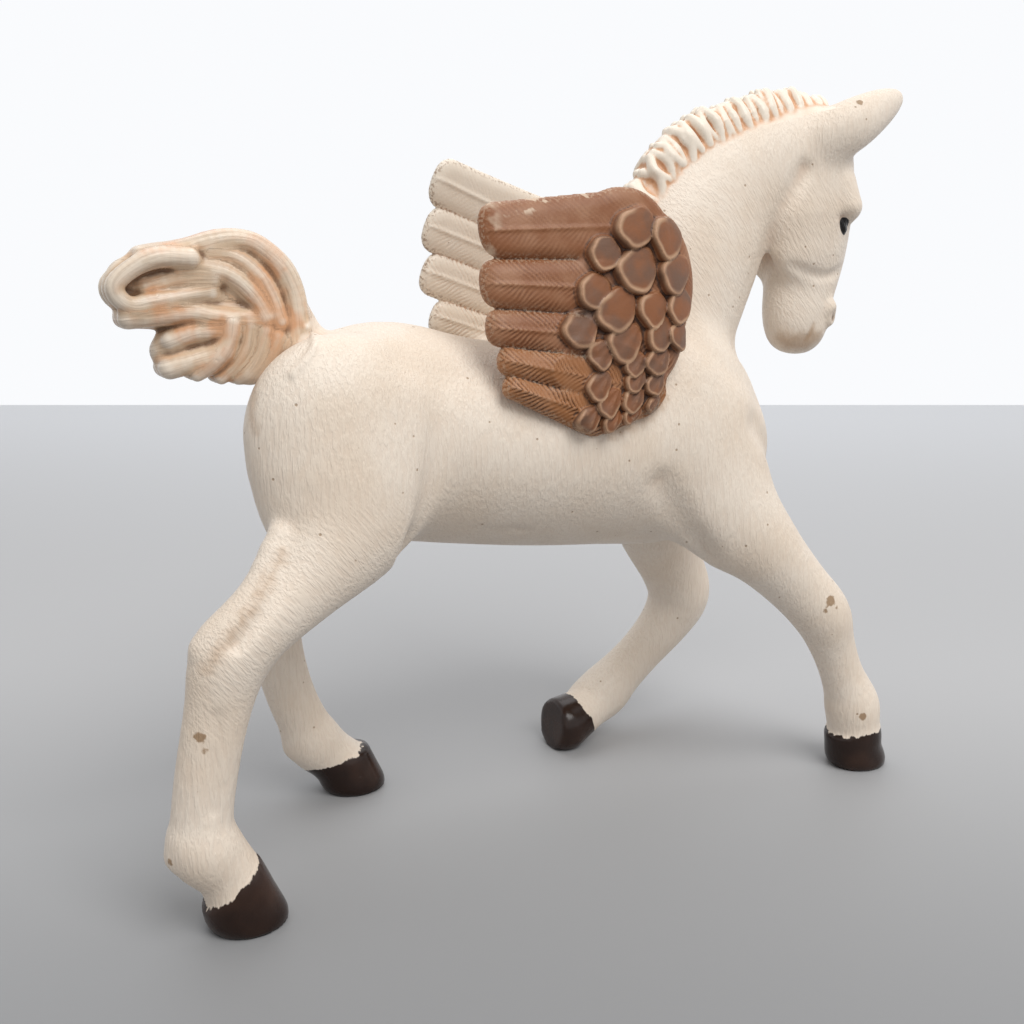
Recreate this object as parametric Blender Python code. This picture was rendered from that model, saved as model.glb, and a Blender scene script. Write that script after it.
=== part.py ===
"""Pegasus foal figurine: one moulded body, with a wing seated in each side of it.

The shapes are modelled like clay. Each limb is a chain of round stations, the chains are blended
into one smooth solid, and grooves are pressed into it. Working sizes are in millimetres.
X points to the head, Y to the horse's left and Z up.
"""

import math

import bpy
import numpy as np

MM = 0.001

# Fineness of the clay and of the finished meshes
BODY_STEP = 0.5
WING_STEP = 0.34
BODY_TRIANGLES = 6900
WING_TRIANGLES = 2500
FAR_AWAY = 50.0
SPLINE_STEPS = 3
FILL = 0.3
MOST_FILLS = 6
FREE_CELLS = 8

# How the pieces meet
SEAT_GAP = 0.35
SEAT_DEPTH = 2.6
ROOT_BLEND = 1.8

# Stance: the legs stretch between two levels, and the barrel between two places along it
TRACK_HALF = 12.0
GROUND = 1.75
SOLE_SNAP = 0.25
LEG_LEVELS = (12.0, 32.0)
LEG_LENGTH = 20.0
LOIN_PLACES = (-18.0, -8.0)
LOIN_LENGTH = 10.0

# Hooves
NEAR_HIND_HOOF = -40.4
FAR_HIND_HOOF = -20.9
NEAR_FORE_HOOF = 41.2
HOOF_LENGTH_HALF = 4.3
HOOF_WIDTH_HALF = 3.8
HOOF_HEIGHT = 5.0
HOOF_LEAN = 0.30
HOOF_TAPER = 0.035
HOOF_BLEND = 0.35
SOLE_ROUNDING = 0.12
SOLE_ROUND_HEIGHT = 1.5
NEAR_CORONET_SLOPE = 0.62
FAR_CORONET_SLOPE = 0.2
FORE_CORONET_SLOPE = 0.1
FOLDED_SOLE_X = 6.8
FOLDED_SOLE_SLOPE = 0.12

# Wing root: an oval tongue, sloping down to the front
ROOT_MIDDLE = (1.2, 54.0)
ROOT_HALF_LENGTH = 6.4
ROOT_HALF_HEIGHT = 3.2
ROOT_SLOPE = 0.25
ROOT_OUTER_END = 12.0
FLANK_SURFACE = 7.0

# Wing plate: how far out it stands, and how that changes up, back and forward
PLATE_OUT = 11.9
PLATE_LEAN_IN = 3.4
PLATE_LOW = 50.0
PLATE_SPAN = 25.0
PLATE_BEND_AT = 6.0
PLATE_REAR_SPAN = 18.0
PLATE_FORE_SPAN = 8.0
PLATE_REAR_IN = (0.7, 1.6)
PLATE_FORE_IN = 1.6
RIM_ROUNDING = 1.6
WING_THICKNESS = 2.1
FEATHER_DOME = 0.75
INNER_DOME = 0.4
TIP_SQUARENESS = 2.7
SCALE_RISE = 1.4
SCALE_TILT = (25.0, 1.0)

# Mane and tail
MANE_TUFTS = 20
MANE_HALF_WIDTH = 2.1
TAIL_HALF_THICKNESS = 1.7

# Ears
EAR_ROOT = (37.6, 82.0)
EAR_LENGTH = 11.15
EAR_SLOPE = 27.3
EAR_SPREAD = 4.6
FAR_EAR_DROP = 1.3


def stretch(values, section, length):
    """Stretches one section of an axis to a length, which moves all that lies beyond it."""
    low, high = section
    inside = np.clip(values, low, high) - low
    return values + inside * (length / (high - low) - 1.0)


def posed(stations):
    """Stations or points moved to where the leg length and the loin length put them."""
    placed = np.array(stations, float)
    placed[:, 0] = stretch(placed[:, 0], LOIN_PLACES, LOIN_LENGTH)
    placed[:, 2] = stretch(placed[:, 2], LEG_LEVELS, LEG_LENGTH)
    return placed


# How far the fore part and the upper part move with the two stretches
AHEAD = LOIN_LENGTH - (LOIN_PLACES[1] - LOIN_PLACES[0])
LIFT = LEG_LENGTH - (LEG_LEVELS[1] - LEG_LEVELS[0])

# Middle of each sole on the ground, and the slope of its coronet
STANDING_HOOVES = (
    (NEAR_HIND_HOOF, -TRACK_HALF, NEAR_CORONET_SLOPE),
    (FAR_HIND_HOOF, TRACK_HALF, FAR_CORONET_SLOPE),
    (NEAR_FORE_HOOF + AHEAD, -TRACK_HALF, FORE_CORONET_SLOPE),
)


def smooth_min(first, second, blend):
    """The union of two fields, with a fillet about as wide as the blend."""
    share = np.clip(0.5 + 0.5 * (second - first) / blend, 0.0, 1.0)
    return second * (1 - share) + first * share - blend * share * (1 - share)


def bone_field(points, start, end, side):
    """Distance to a tapered bone. A station is (x, y, z, radius, sideways radius / radius)."""
    axis = end[:3] - start[:3]
    length2 = float(axis @ axis) or 1e-9
    offset = [points[i] - start[i] for i in range(3)]
    along = sum(offset[i] * axis[i] for i in range(3)) / length2
    along = np.clip(along, 0.0, 1.0)
    across = [offset[i] - along * axis[i] for i in range(3)]
    sideways = sum(across[i] * side[i] for i in range(3))
    rest = sum(part * part for part in across) - sideways * sideways
    flat = start[4] + (end[4] - start[4]) * along
    radius = start[3] + (end[3] - start[3]) * along
    reach = np.sqrt(np.maximum(rest, 0.0) + (sideways / flat) ** 2)
    return (reach - radius) * np.minimum(flat, 1.0)


def smooth_stations(stations):
    """More stations between the given ones, on a curve through all of them."""
    given = np.array(stations, float)
    if len(given) < 3:
        return given
    padded = np.vstack([2 * given[0] - given[1], given, 2 * given[-1] - given[-2]])
    curve = []
    for i in range(1, len(padded) - 2):
        before, here, there, after = padded[i - 1 : i + 3]
        for k in range(SPLINE_STEPS):
            t = k / SPLINE_STEPS
            slope = (there - before) * t
            bend = (2 * before - 5 * here + 4 * there - after) * t * t
            twist = (3 * here - 3 * there + after - before) * t**3
            curve.append(0.5 * (2 * here + slope + bend + twist))
    curve.append(given[-1])
    return np.array(curve)


class Ruler:
    """Stands in for the clay while the forms are measured, and keeps the box round them."""

    def __init__(self):
        self.low = np.full(3, np.inf)
        self.high = np.full(3, -np.inf)

    def take_in(self, centres, reach):
        """Widens the box to hold every centre, with its reach round it."""
        self.low = np.minimum(self.low, (centres - reach).min(0))
        self.high = np.maximum(self.high, (centres + reach).max(0))

    def add(self, stations, **fillets):
        """Takes in a chain of bones."""
        curve = smooth_stations(posed(stations))
        self.take_in(curve[:, :3], (curve[:, 3] * np.maximum(1.0, curve[:, 4]))[:, None])

    def groove(self, path, width, depth):
        """A groove needs no room."""

    def clay(self, step):
        """An empty block round the box, with free cells on every side."""
        margin = FREE_CELLS * step
        return Clay(self.low - margin, self.high + margin, step)


class Clay:
    """A block of clay: a grid of distances, below zero inside the solid."""

    def __init__(self, low, high, step):
        self.low = np.array(low, float)
        self.step = step
        counts = [int(math.ceil((high[i] - low[i]) / step)) + 1 for i in range(3)]
        self.axes = [low[i] + step * np.arange(counts[i]) for i in range(3)]
        self.field = np.full(counts, FAR_AWAY)

    def corners(self):
        """The block's lowest and highest corner."""
        return self.low, np.array([axis[-1] for axis in self.axes])

    def window(self, low, high):
        """The slices of the grid in a box, and its points as three arrays that broadcast."""
        cut = []
        for i in range(3):
            first = int(math.floor((low[i] - self.low[i]) / self.step))
            last = int(math.ceil((high[i] - self.low[i]) / self.step)) + 1
            size = len(self.axes[i])
            first = min(max(first, 0), size)
            cut.append(slice(first, max(first, min(last, size))))
        x, y, z = (self.axes[i][cut[i]] for i in range(3))
        return tuple(cut), (x[:, None, None], y[None, :, None], z[None, None, :])

    def chain_field(self, stations, joint, margin, side):
        """The window around a chain of bones, and the chain's own field in it."""
        curve = smooth_stations(posed(stations))
        reach = curve[:, 3] * np.maximum(1.0, curve[:, 4]) + margin
        most = float(reach.max())
        cut, _ = self.window(curve[:, :3].min(0) - most, curve[:, :3].max(0) + most)
        local = np.full([part.stop - part.start for part in cut], FAR_AWAY)
        for start, end in zip(curve[:-1], curve[1:]):
            near = max(start[3] * max(1.0, start[4]), end[3] * max(1.0, end[4])) + margin
            low = np.minimum(start[:3], end[:3]) - min(near, most)
            high = np.maximum(start[:3], end[:3]) + min(near, most)
            small, inner = self.window(low, high)
            inside = tuple(slice(s.start - c.start, s.stop - c.start) for s, c in zip(small, cut))
            bone = bone_field(inner, start, end, side)
            local[inside] = smooth_min(local[inside], bone, joint)
        return cut, local

    def add(self, stations, blend=1.0, joint=0.6, side=(0.0, 1.0, 0.0)):
        """Adds a chain of bones, with a fillet where it meets the clay."""
        cut, local = self.chain_field(stations, joint, blend + 2 * self.step, side)
        self.field[cut] = smooth_min(self.field[cut], local, blend)

    def groove(self, path, width, depth):
        """Presses a soft groove along a path of (x, y, z) points."""
        curve = smooth_stations(posed(path))
        reach = 3 * width
        cut, points = self.window(curve.min(0) - reach, curve.max(0) + reach)
        nearest = np.full([part.stop - part.start for part in cut], FAR_AWAY)
        for start, end in zip(curve[:-1], curve[1:]):
            axis = end - start
            along = sum((points[i] - start[i]) * axis[i] for i in range(3)) / float(axis @ axis)
            along = np.clip(along, 0.0, 1.0)
            gap2 = sum((points[i] - start[i] - along * axis[i]) ** 2 for i in range(3))
            nearest = np.minimum(nearest, gap2)
        self.field[cut] += depth * np.exp(-nearest / width**2)

    def surface(self):
        """The zero surface as vertices and outward quads: one vertex in each cell it crosses."""
        field = self.field
        counts = field.shape
        cells = tuple(n - 1 for n in counts)
        crossings = np.zeros(cells)
        place = [np.zeros(cells) for _ in range(3)]
        for axis in range(3):
            others = [i for i in range(3) if i != axis]
            for corner in ((0, 0), (0, 1), (1, 0), (1, 1)):
                start = [0, 0, 0]
                start[others[0]], start[others[1]] = corner
                end = list(start)
                end[axis] = 1
                a = field[tuple(slice(s, s + n) for s, n in zip(start, cells))]
                b = field[tuple(slice(s, s + n) for s, n in zip(end, cells))]
                crossed = (a < 0) != (b < 0)
                crossings += crossed
                place[axis] += np.where(crossed, a / np.where(crossed, a - b, 1.0), 0.0)
                place[others[0]] += crossed * corner[0]
                place[others[1]] += crossed * corner[1]
        used = crossings > 0
        cell_of = np.argwhere(used)
        number = np.full(cells, -1)
        number[used] = np.arange(len(cell_of))
        shift = np.stack([part[used] / crossings[used] for part in place], axis=1)
        vertices = (cell_of + shift) * self.step + self.low
        quads = []
        for axis in range(3):
            others = [i for i in range(3) if i != axis]
            start = [slice(1, n - 1) for n in counts]
            start[axis] = slice(0, counts[axis] - 1)
            end = list(start)
            end[axis] = slice(1, counts[axis])
            leaving = field[tuple(start)] < 0
            crossed = leaving != (field[tuple(end)] < 0)
            edge = np.argwhere(crossed)
            edge[:, others] += 1
            ring = []
            for back in ((1, 1), (0, 1), (0, 0), (1, 0)):
                cell = edge.copy()
                cell[:, others] -= np.array(back)
                ring.append(number[tuple(cell.T)])
            quad = np.stack(ring, axis=1)
            outward = leaving[crossed] != (axis == 1)
            quad[~outward] = quad[~outward][:, ::-1]
            quads.append(quad)
        return vertices, np.concatenate(quads), cell_of

    def sound_surface(self):
        """The surface, after filling each cell where it would meet itself along an edge."""
        vertices, quads, cell_of = self.surface()
        for _ in range(MOST_FILLS):
            ends = np.stack([quads, np.roll(quads, -1, axis=1)], axis=2).reshape(-1, 2)
            edges, uses = np.unique(np.sort(ends, axis=1), axis=0, return_counts=True)
            pinched = cell_of[np.unique(edges[uses > 2])]
            if len(pinched) == 0:
                break
            for corner in np.ndindex(2, 2, 2):
                spot = tuple((pinched + np.array(corner)).T)
                self.field[spot] = np.minimum(self.field[spot], -FILL * self.step)
            vertices, quads, cell_of = self.surface()
        return vertices, quads


def add_trunk(clay):
    """Barrel, chest and croup."""
    clay.add(
        [
            (-24.0, 0, 48.6, 10.6, 0.80),
            (-20.0, 0, 48.6, 11.6, 0.88),
            (-12.0, 0, 47.0, 11.4, 0.95),
            (-2.0, 0, 45.9, 11.7, 1.0),
            (8.0, 0, 46.2, 12.9, 0.92),
            (16.0, 0, 45.6, 12.9, 0.80),
            (18.6, 0, 45.0, 10.6, 0.80),
        ]
    )
    for side in (-1, 1):
        # Breast muscle and point of the shoulder
        breast = [(18.5, side * 4.6, 49.0, 6.4, 0.9), (21.2, side * 4.4, 44.6, 5.8, 0.9)]
        clay.add(breast, blend=2.0)


def add_neck(clay):
    """Arched neck from the withers to the poll."""
    clay.add(
        [
            (9.5, 0, 50.0, 12.2, 0.74),
            (15.2, 0, 59.5, 10.5, 0.62),
            (20.0, 0, 68.1, 9.5, 0.56),
            (25.2, 0, 74.6, 7.7, 0.56),
            (32.5, 0, 79.0, 6.4, 0.66),
            (36.5, 0, 80.2, 5.6, 0.75),
        ],
        blend=3.0,
    )


def add_head(clay):
    """Skull, cheeks, brows, muzzle, chin and ears."""
    clay.add(
        [
            (37.7, 0, 80.2, 6.2, 0.74),
            (38.0, 0, 74.5, 6.4, 0.70),
            (38.4, 0, 68.5, 5.5, 0.64),
            (37.5, 0, 63.0, 4.7, 0.70),
            (37.2, 0, 59.6, 4.3, 0.76),
        ],
        blend=1.8,
    )
    # Lips and chin
    clay.add([(38.1, 0, 58.5, 2.9, 1.0), (35.9, 0, 58.2, 2.2, 1.0)], blend=0.9)
    for side in (-1, 1):
        cheek = [(35.6, side * 2.6, 73.0, 5.9, 0.42), (35.9, side * 2.6, 69.6, 5.2, 0.42)]
        clay.add(cheek, blend=0.9)
        brow = [(40.9, side * 3.3, 76.4, 1.6, 1.0), (41.5, side * 3.8, 73.9, 1.8, 1.0)]
        clay.add(brow, blend=1.4)
        nostril_wing = [(40.3, side * 2.5, 61.2, 1.2, 1.0), (40.7, side * 2.3, 60.0, 1.1, 1.0)]
        clay.add(nostril_wing, blend=0.8)
        drop = FAR_EAR_DROP if side > 0 else 0.0
        slope = math.radians(EAR_SLOPE)
        ear = []
        for share, spread, radius in ((0.0, 0.8, 3.0), (0.31, 1.0, 2.9), (0.69, 1.0, 2.2), (1.0, 1.0, 1.1)):
            x = EAR_ROOT[0] + share * EAR_LENGTH * math.cos(slope)
            z = EAR_ROOT[1] + share * EAR_LENGTH * math.sin(slope) - drop
            ear.append((x, side * EAR_SPREAD * spread, z, radius, 0.78))
        clay.add(ear, blend=1.2)
        # Throat latch, crease below the cheek, eye socket and nostril
        clay.groove(
            [(33.4, side * 4.9, 78.0), (30.6, side * 4.8, 73.0), (29.4, side * 3.8, 67.5)], 1.0, 0.9
        )
        jaw_crease = [(33.0, side * 4.2, 66.3), (38.0, side * 4.0, 65.2), (42.5, side * 3.0, 66.0)]
        clay.groove(jaw_crease, 0.6, 0.5)
        clay.groove([(40.3, side * 4.9, 72.3), (41.2, side * 4.8, 71.2)], 0.8, 0.6)
        clay.groove([(40.9, side * 3.6, 60.4), (41.1, side * 3.1, 59.9)], 0.5, 0.7)
        clay.groove([(37.4, side * 4.0, 59.8), (37.1, side * 3.2, 56.8)], 0.4, 0.6)


def add_legs(clay):
    """Two standing hind legs, a reaching foreleg and a folded one."""
    side = TRACK_HALF
    near_hind = [
        (-27.5, -6.4, 50.0, 9.6, 0.60),
        (-27.4, -7.6, 44.3, 8.9, 0.62),
        (-28.8, -9.4, 40.0, 6.0, 0.68),
        (-33.6, -side + 1.0, 35.5, 3.9, 0.80),
        (-38.4, -side, 32.2, 3.4, 0.85),
        (-41.0, -side, 29.4, 3.5, 0.85),
        (-42.2, -side, 25.5, 3.0, 0.85),
        (-43.8, -side, 18.5, 2.8, 0.85),
        (-44.6, -side, 13.0, 2.8, 0.90),
        (-44.4, -side, 10.8, 3.3, 0.95),
        (-42.4, -side, 7.9, 2.8, 0.95),
        (-41.3, -side, 5.2, 3.1, 1.0),
    ]
    far_hind = [
        (-21.0, 6.4, 50.0, 8.6, 0.62),
        (-21.2, 7.6, 44.5, 7.3, 0.64),
        (-23.4, 9.4, 39.4, 5.3, 0.70),
        (-26.6, side - 0.8, 34.2, 4.0, 0.80),
        (-29.2, side, 29.6, 3.3, 0.85),
        (-30.4, side, 25.5, 3.0, 0.85),
        (-30.0, side, 21.0, 2.8, 0.85),
        (-28.7, side, 15.5, 2.7, 0.85),
        (-27.0, side, 11.0, 2.8, 0.90),
        (-26.0, side, 8.8, 3.2, 0.95),
        (-24.0, side, 6.6, 2.9, 0.95),
        (-22.1, side, 4.6, 3.2, 1.0),
    ]
    near_fore = [
        (14.5, -5.4, 50.0, 9.0, 0.62),
        (17.4, -7.4, 43.8, 8.2, 0.60),
        (19.8, -8.8, 38.0, 6.8, 0.66),
        (24.4, -10.4, 33.0, 4.7, 0.80),
        (29.6, -side + 0.6, 27.6, 3.7, 0.85),
        (33.4, -side, 23.4, 3.5, 0.90),
        (35.4, -side, 19.4, 2.8, 0.85),
        (37.6, -side, 14.6, 2.6, 0.85),
        (38.9, -side, 12.0, 2.9, 0.90),
        (39.8, -side, 9.8, 3.3, 0.95),
        (40.2, -side, 7.2, 3.1, 0.95),
        (40.6, -side, 5.4, 3.3, 1.0),
    ]
    far_fore = [
        (14.5, 5.4, 50.0, 9.0, 0.62),
        (17.8, 7.4, 43.5, 8.2, 0.60),
        (21.0, 8.8, 37.5, 6.9, 0.66),
        (23.5, 10.2, 31.0, 5.3, 0.80),
        (26.9, side - 0.8, 25.0, 4.4, 0.85),
        (28.6, side - 0.3, 20.6, 4.2, 0.90),
        (26.5, side, 16.6, 3.5, 0.85),
        (22.4, side, 12.8, 3.0, 0.85),
        (18.4, side, 9.6, 3.1, 0.90),
        (16.2, side, 7.8, 3.4, 0.95),
        (13.4, side, 6.2, 3.1, 1.0),
    ]
    for leg in (near_hind, far_hind, near_fore, far_fore):
        clay.add(leg, blend=2.4)
    # Sharp hocks with the tendon that runs up from them
    near_tendon = [(-43.1, -side, 30.9, 1.5), (-38.8, -side, 35.2, 1.2), (-35.2, -10.5, 40.5, 1.3)]
    far_tendon = [(-31.2, side, 30.0, 1.5), (-29.4, side, 34.0, 1.2), (-27.4, 10.5, 38.6, 1.3)]
    for tendon in (near_tendon, far_tendon):
        clay.add([station + (1.0,) for station in tendon])
    # Fetlock tufts
    clay.add([(-46.0, -side, 11.6, 1.9, 1.0), (-47.0, -side, 10.5, 1.1, 1.0)])
    clay.add([(-28.0, side, 10.0, 1.8, 1.0), (-28.5, side, 8.6, 1.2, 1.0)])
    clay.add([(37.8, -side, 10.2, 1.6, 1.0), (38.2, -side, 8.4, 1.3, 1.0)])
    for outer in (-1, 1):
        # Flank fold in front of the thigh, and the hollow behind the elbow
        shift = 0.0 if outer < 0 else 2.5
        clay.groove(
            [
                (-17.6 + shift, outer * 10.4, 57.0),
                (-18.4 + shift, outer * 11.6, 50.0),
                (-20.3 + shift, outer * 11.4, 41.0),
                (-22.8 + shift, outer * 9.6, 38.0),
            ],
            1.25,
            1.1,
        )
        elbow = [(8.5, outer * 11.8, 42.0), (12.5, outer * 11.0, 36.4), (17.0, outer * 9.8, 33.4)]
        clay.groove(elbow, 1.6, 0.8)
        arm = [(22.5, outer * 11.4, 48.0), (26.6, outer * 9.8, 43.5), (27.8, outer * 9.6, 39.0)]
        clay.groove(arm, 1.6, 0.7)
    clay.groove([(-35.0, -14.6, 39.0), (-38.0, -15.0, 35.0), (-41.0, -14.8, 31.8)], 0.7, 0.7)


def hoof_field(points, centre, slope):
    """A hoof block: a leaning, slightly flared oval, cut by a coronet that rises to the toe."""
    x, y, z = points
    up = z - centre[2]
    ahead = x - centre[0] + HOOF_LEAN * up
    flare = 1.0 - HOOF_TAPER * up - SOLE_ROUNDING * np.clip(1.0 - up / SOLE_ROUND_HEIGHT, 0.0, 1.0) ** 2
    long_share = ahead / (HOOF_LENGTH_HALF * flare)
    wide_share = (y - centre[1]) / (HOOF_WIDTH_HALF * flare)
    oval = (np.sqrt(long_share**2 + wide_share**2) - 1.0) * HOOF_WIDTH_HALF
    return np.maximum(oval, up - HOOF_HEIGHT - slope * ahead)


def add_hooves(clay):
    """Three hooves flat on the ground, and the folded leg's hoof with its sole turned back."""
    for x, y, slope in STANDING_HOOVES:
        low = (x - 2 * HOOF_LENGTH_HALF, y - 2 * HOOF_WIDTH_HALF, GROUND - 2)
        high = (x + 2 * HOOF_LENGTH_HALF, y + 2 * HOOF_WIDTH_HALF, GROUND + 2 * HOOF_HEIGHT)
        cut, points = clay.window(low, high)
        hoof = hoof_field(points, (x, y, GROUND), slope)
        clay.field[cut] = smooth_min(clay.field[cut], hoof, HOOF_BLEND)
    toe = [(13.4, TRACK_HALF - 0.8, 6.3, 2.9, 1.05), (9.0, TRACK_HALF - 1.3, 4.9, 3.8, 1.0)]
    clay.add(toe, blend=HOOF_BLEND)
    # The folded foot's sole is a near-upright face, and its toe rests on the ground
    rear = FOLDED_SOLE_X + AHEAD
    low = (rear - HOOF_LENGTH_HALF, TRACK_HALF - 2 * HOOF_WIDTH_HALF, GROUND - HOOF_HEIGHT)
    high = (rear + 2 * HOOF_LENGTH_HALF, TRACK_HALF + 2 * HOOF_WIDTH_HALF, LEG_LEVELS[0] + 2.0)
    cut, (x, _, z) = clay.window(low, high)
    sole = rear - x + FOLDED_SOLE_SLOPE * (z - GROUND)
    clay.field[cut] = np.maximum(clay.field[cut], sole)


def add_mane(clay):
    """A short upright mane of fluted tufts along the crest."""
    low = smooth_stations(
        [(12.6, 72.6), (16.2, 77.4), (20.6, 80.6), (26.5, 81.9), (32.5, 83.4), (38.6, 85.0)]
    )
    high = smooth_stations(
        [(10.9, 75.2), (14.6, 80.6), (18.9, 83.9), (25.4, 86.2), (31.9, 88.0), (39.4, 87.4)]
    )
    spots = np.linspace(0, len(low) - 1, MANE_TUFTS)
    for number, spot in enumerate(spots):
        first = min(int(spot), len(low) - 2)
        share = spot - first
        foot = low[first] * (1 - share) + low[first + 1] * share
        head = high[first] * (1 - share) + high[first + 1] * share
        jag = 0.45 * math.sin(2.4 * number) + 0.35 * math.sin(5.1 * number + 1.0)
        tip = head + (head - foot) * 0.12 * jag
        middle = (foot + tip) / 2
        root = foot - (head - foot) * 0.6
        core = [(root[0], 0, root[1], 2.3, 1.2), (tip[0], 0, tip[1] - 1.3, 0.9, 1.2)]
        clay.add(core, blend=0.8)
        for side in (-1, 1):
            lock = [
                (foot[0], side * MANE_HALF_WIDTH, foot[1], 0.80, 1.0),
                (middle[0], side * 1.5, middle[1], 0.78, 1.0),
                (tip[0], side * 0.4, tip[1] - 0.5, 0.55, 1.0),
            ]
            clay.add(lock, blend=0.12, joint=0.2)


def add_tail(clay):
    """A tail flipped up like a flag: a core with locks that curl over it on both sides."""
    core = [
        [(-29.0, 0, 56.0, 3.2, 1.0), (-31.2, 0, 62.0, 2.3, 0.7), (-35.6, 0, 66.8, 1.9, 0.7)],
        [
            (-30.4, 0, 56.6, 3.0, 0.8),
            (-35.4, 0, 61.2, 2.9, 0.65),
            (-41.0, 0, 62.6, 2.3, 0.7),
            (-46.0, 0, 62.0, 1.3, 0.9),
        ],
        [(-33.6, 0, 64.5, 2.5, 0.65), (-40.0, 0, 66.2, 2.0, 0.8), (-46.2, 0, 65.2, 1.6, 0.8)],
        [(-33.4, 0, 58.6, 2.7, 0.7), (-38.0, 0, 58.6, 2.5, 0.65), (-43.0, 0, 58.0, 1.5, 0.9)],
    ]
    for line in core:
        clay.add(line, blend=1.5)
    # Each lock is a list of (x, z, radius); rise is how far it stands off the core
    outer_up = [(-30.2, 58.6, 1.4), (-30.3, 62.8, 1.3), (-31.2, 65.5, 1.3), (-32.7, 67.3, 1.2)]
    outer_back = [(-34.6, 68.5, 1.1), (-37.4, 68.6, 1.1), (-41.0, 67.7, 0.9), (-44.8, 67.2, 0.8)]
    second = [(-32.1, 60.8, 0.9), (-32.9, 63.4, 0.9), (-34.2, 65.5, 0.9), (-36.1, 67.0, 0.8)]
    third = [(-33.4, 61.3, 0.9), (-34.6, 63.4, 0.9), (-36.6, 65.2, 0.9), (-39.0, 66.0, 0.8)]
    curl_over = [(-40.6, 66.9, 0.9), (-43.6, 66.9, 1.0), (-45.8, 66.0, 0.9), (-47.5, 64.5, 0.9)]
    curl_under = [(-47.3, 63.2, 0.9), (-46.0, 62.5, 0.8), (-43.6, 62.9, 0.9), (-38.8, 63.7, 0.8)]
    locks = [
        (0.0, outer_up + outer_back),
        (0.9, second + [(-38.4, 67.4, 0.7)]),
        (1.1, third + [(-41.4, 65.9, 0.7)]),
        (1.4, curl_over + curl_under),
        (0.2, [(-38.4, 65.0, 0.8), (-41.4, 64.9, 0.8), (-44.4, 64.2, 0.6)]),
        (0.9, [(-34.2, 61.0, 0.8), (-38.3, 61.3, 0.9), (-41.0, 61.7, 1.0), (-46.5, 61.2, 1.0)]),
        (0.6, [(-36.6, 59.9, 0.8), (-40.2, 59.8, 1.0), (-42.6, 59.0, 0.9)]),
        (0.7, [(-37.6, 57.9, 0.9), (-40.3, 57.1, 1.1), (-42.9, 56.4, 1.1)]),
        (1.6, [(-36.9, 60.6, 0.7), (-37.3, 58.8, 0.9), (-38.6, 57.0, 0.9), (-40.4, 55.7, 0.7)]),
        (0.9, [(-35.1, 60.2, 0.8), (-35.5, 58.3, 0.9), (-36.6, 56.6, 0.9), (-38.0, 55.3, 0.7)]),
        (1.1, [(-33.6, 59.8, 0.8), (-34.2, 57.6, 0.8), (-35.4, 55.9, 0.9), (-36.3, 55.2, 0.7)]),
        (0.9, [(-32.4, 59.2, 0.8), (-33.1, 57.3, 0.8), (-34.4, 55.6, 0.8), (-35.1, 55.2, 0.7)]),
        (0.5, [(-31.3, 58.6, 0.9), (-32.1, 57.0, 0.8), (-33.2, 55.8, 0.8)]),
    ]
    for rise, points in locks:
        for side in (-1, 0, 1):
            last = len(points) - 1
            lock = []
            for number, (x, z, radius) in enumerate(points):
                depth = TAIL_HALF_THICKNESS * (1 - 0.35 * number / last) + 0.5 * rise
                lock.append((x, side * depth, z, radius, 1.0))
            clay.add(lock, blend=0.15, joint=0.3)


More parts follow.
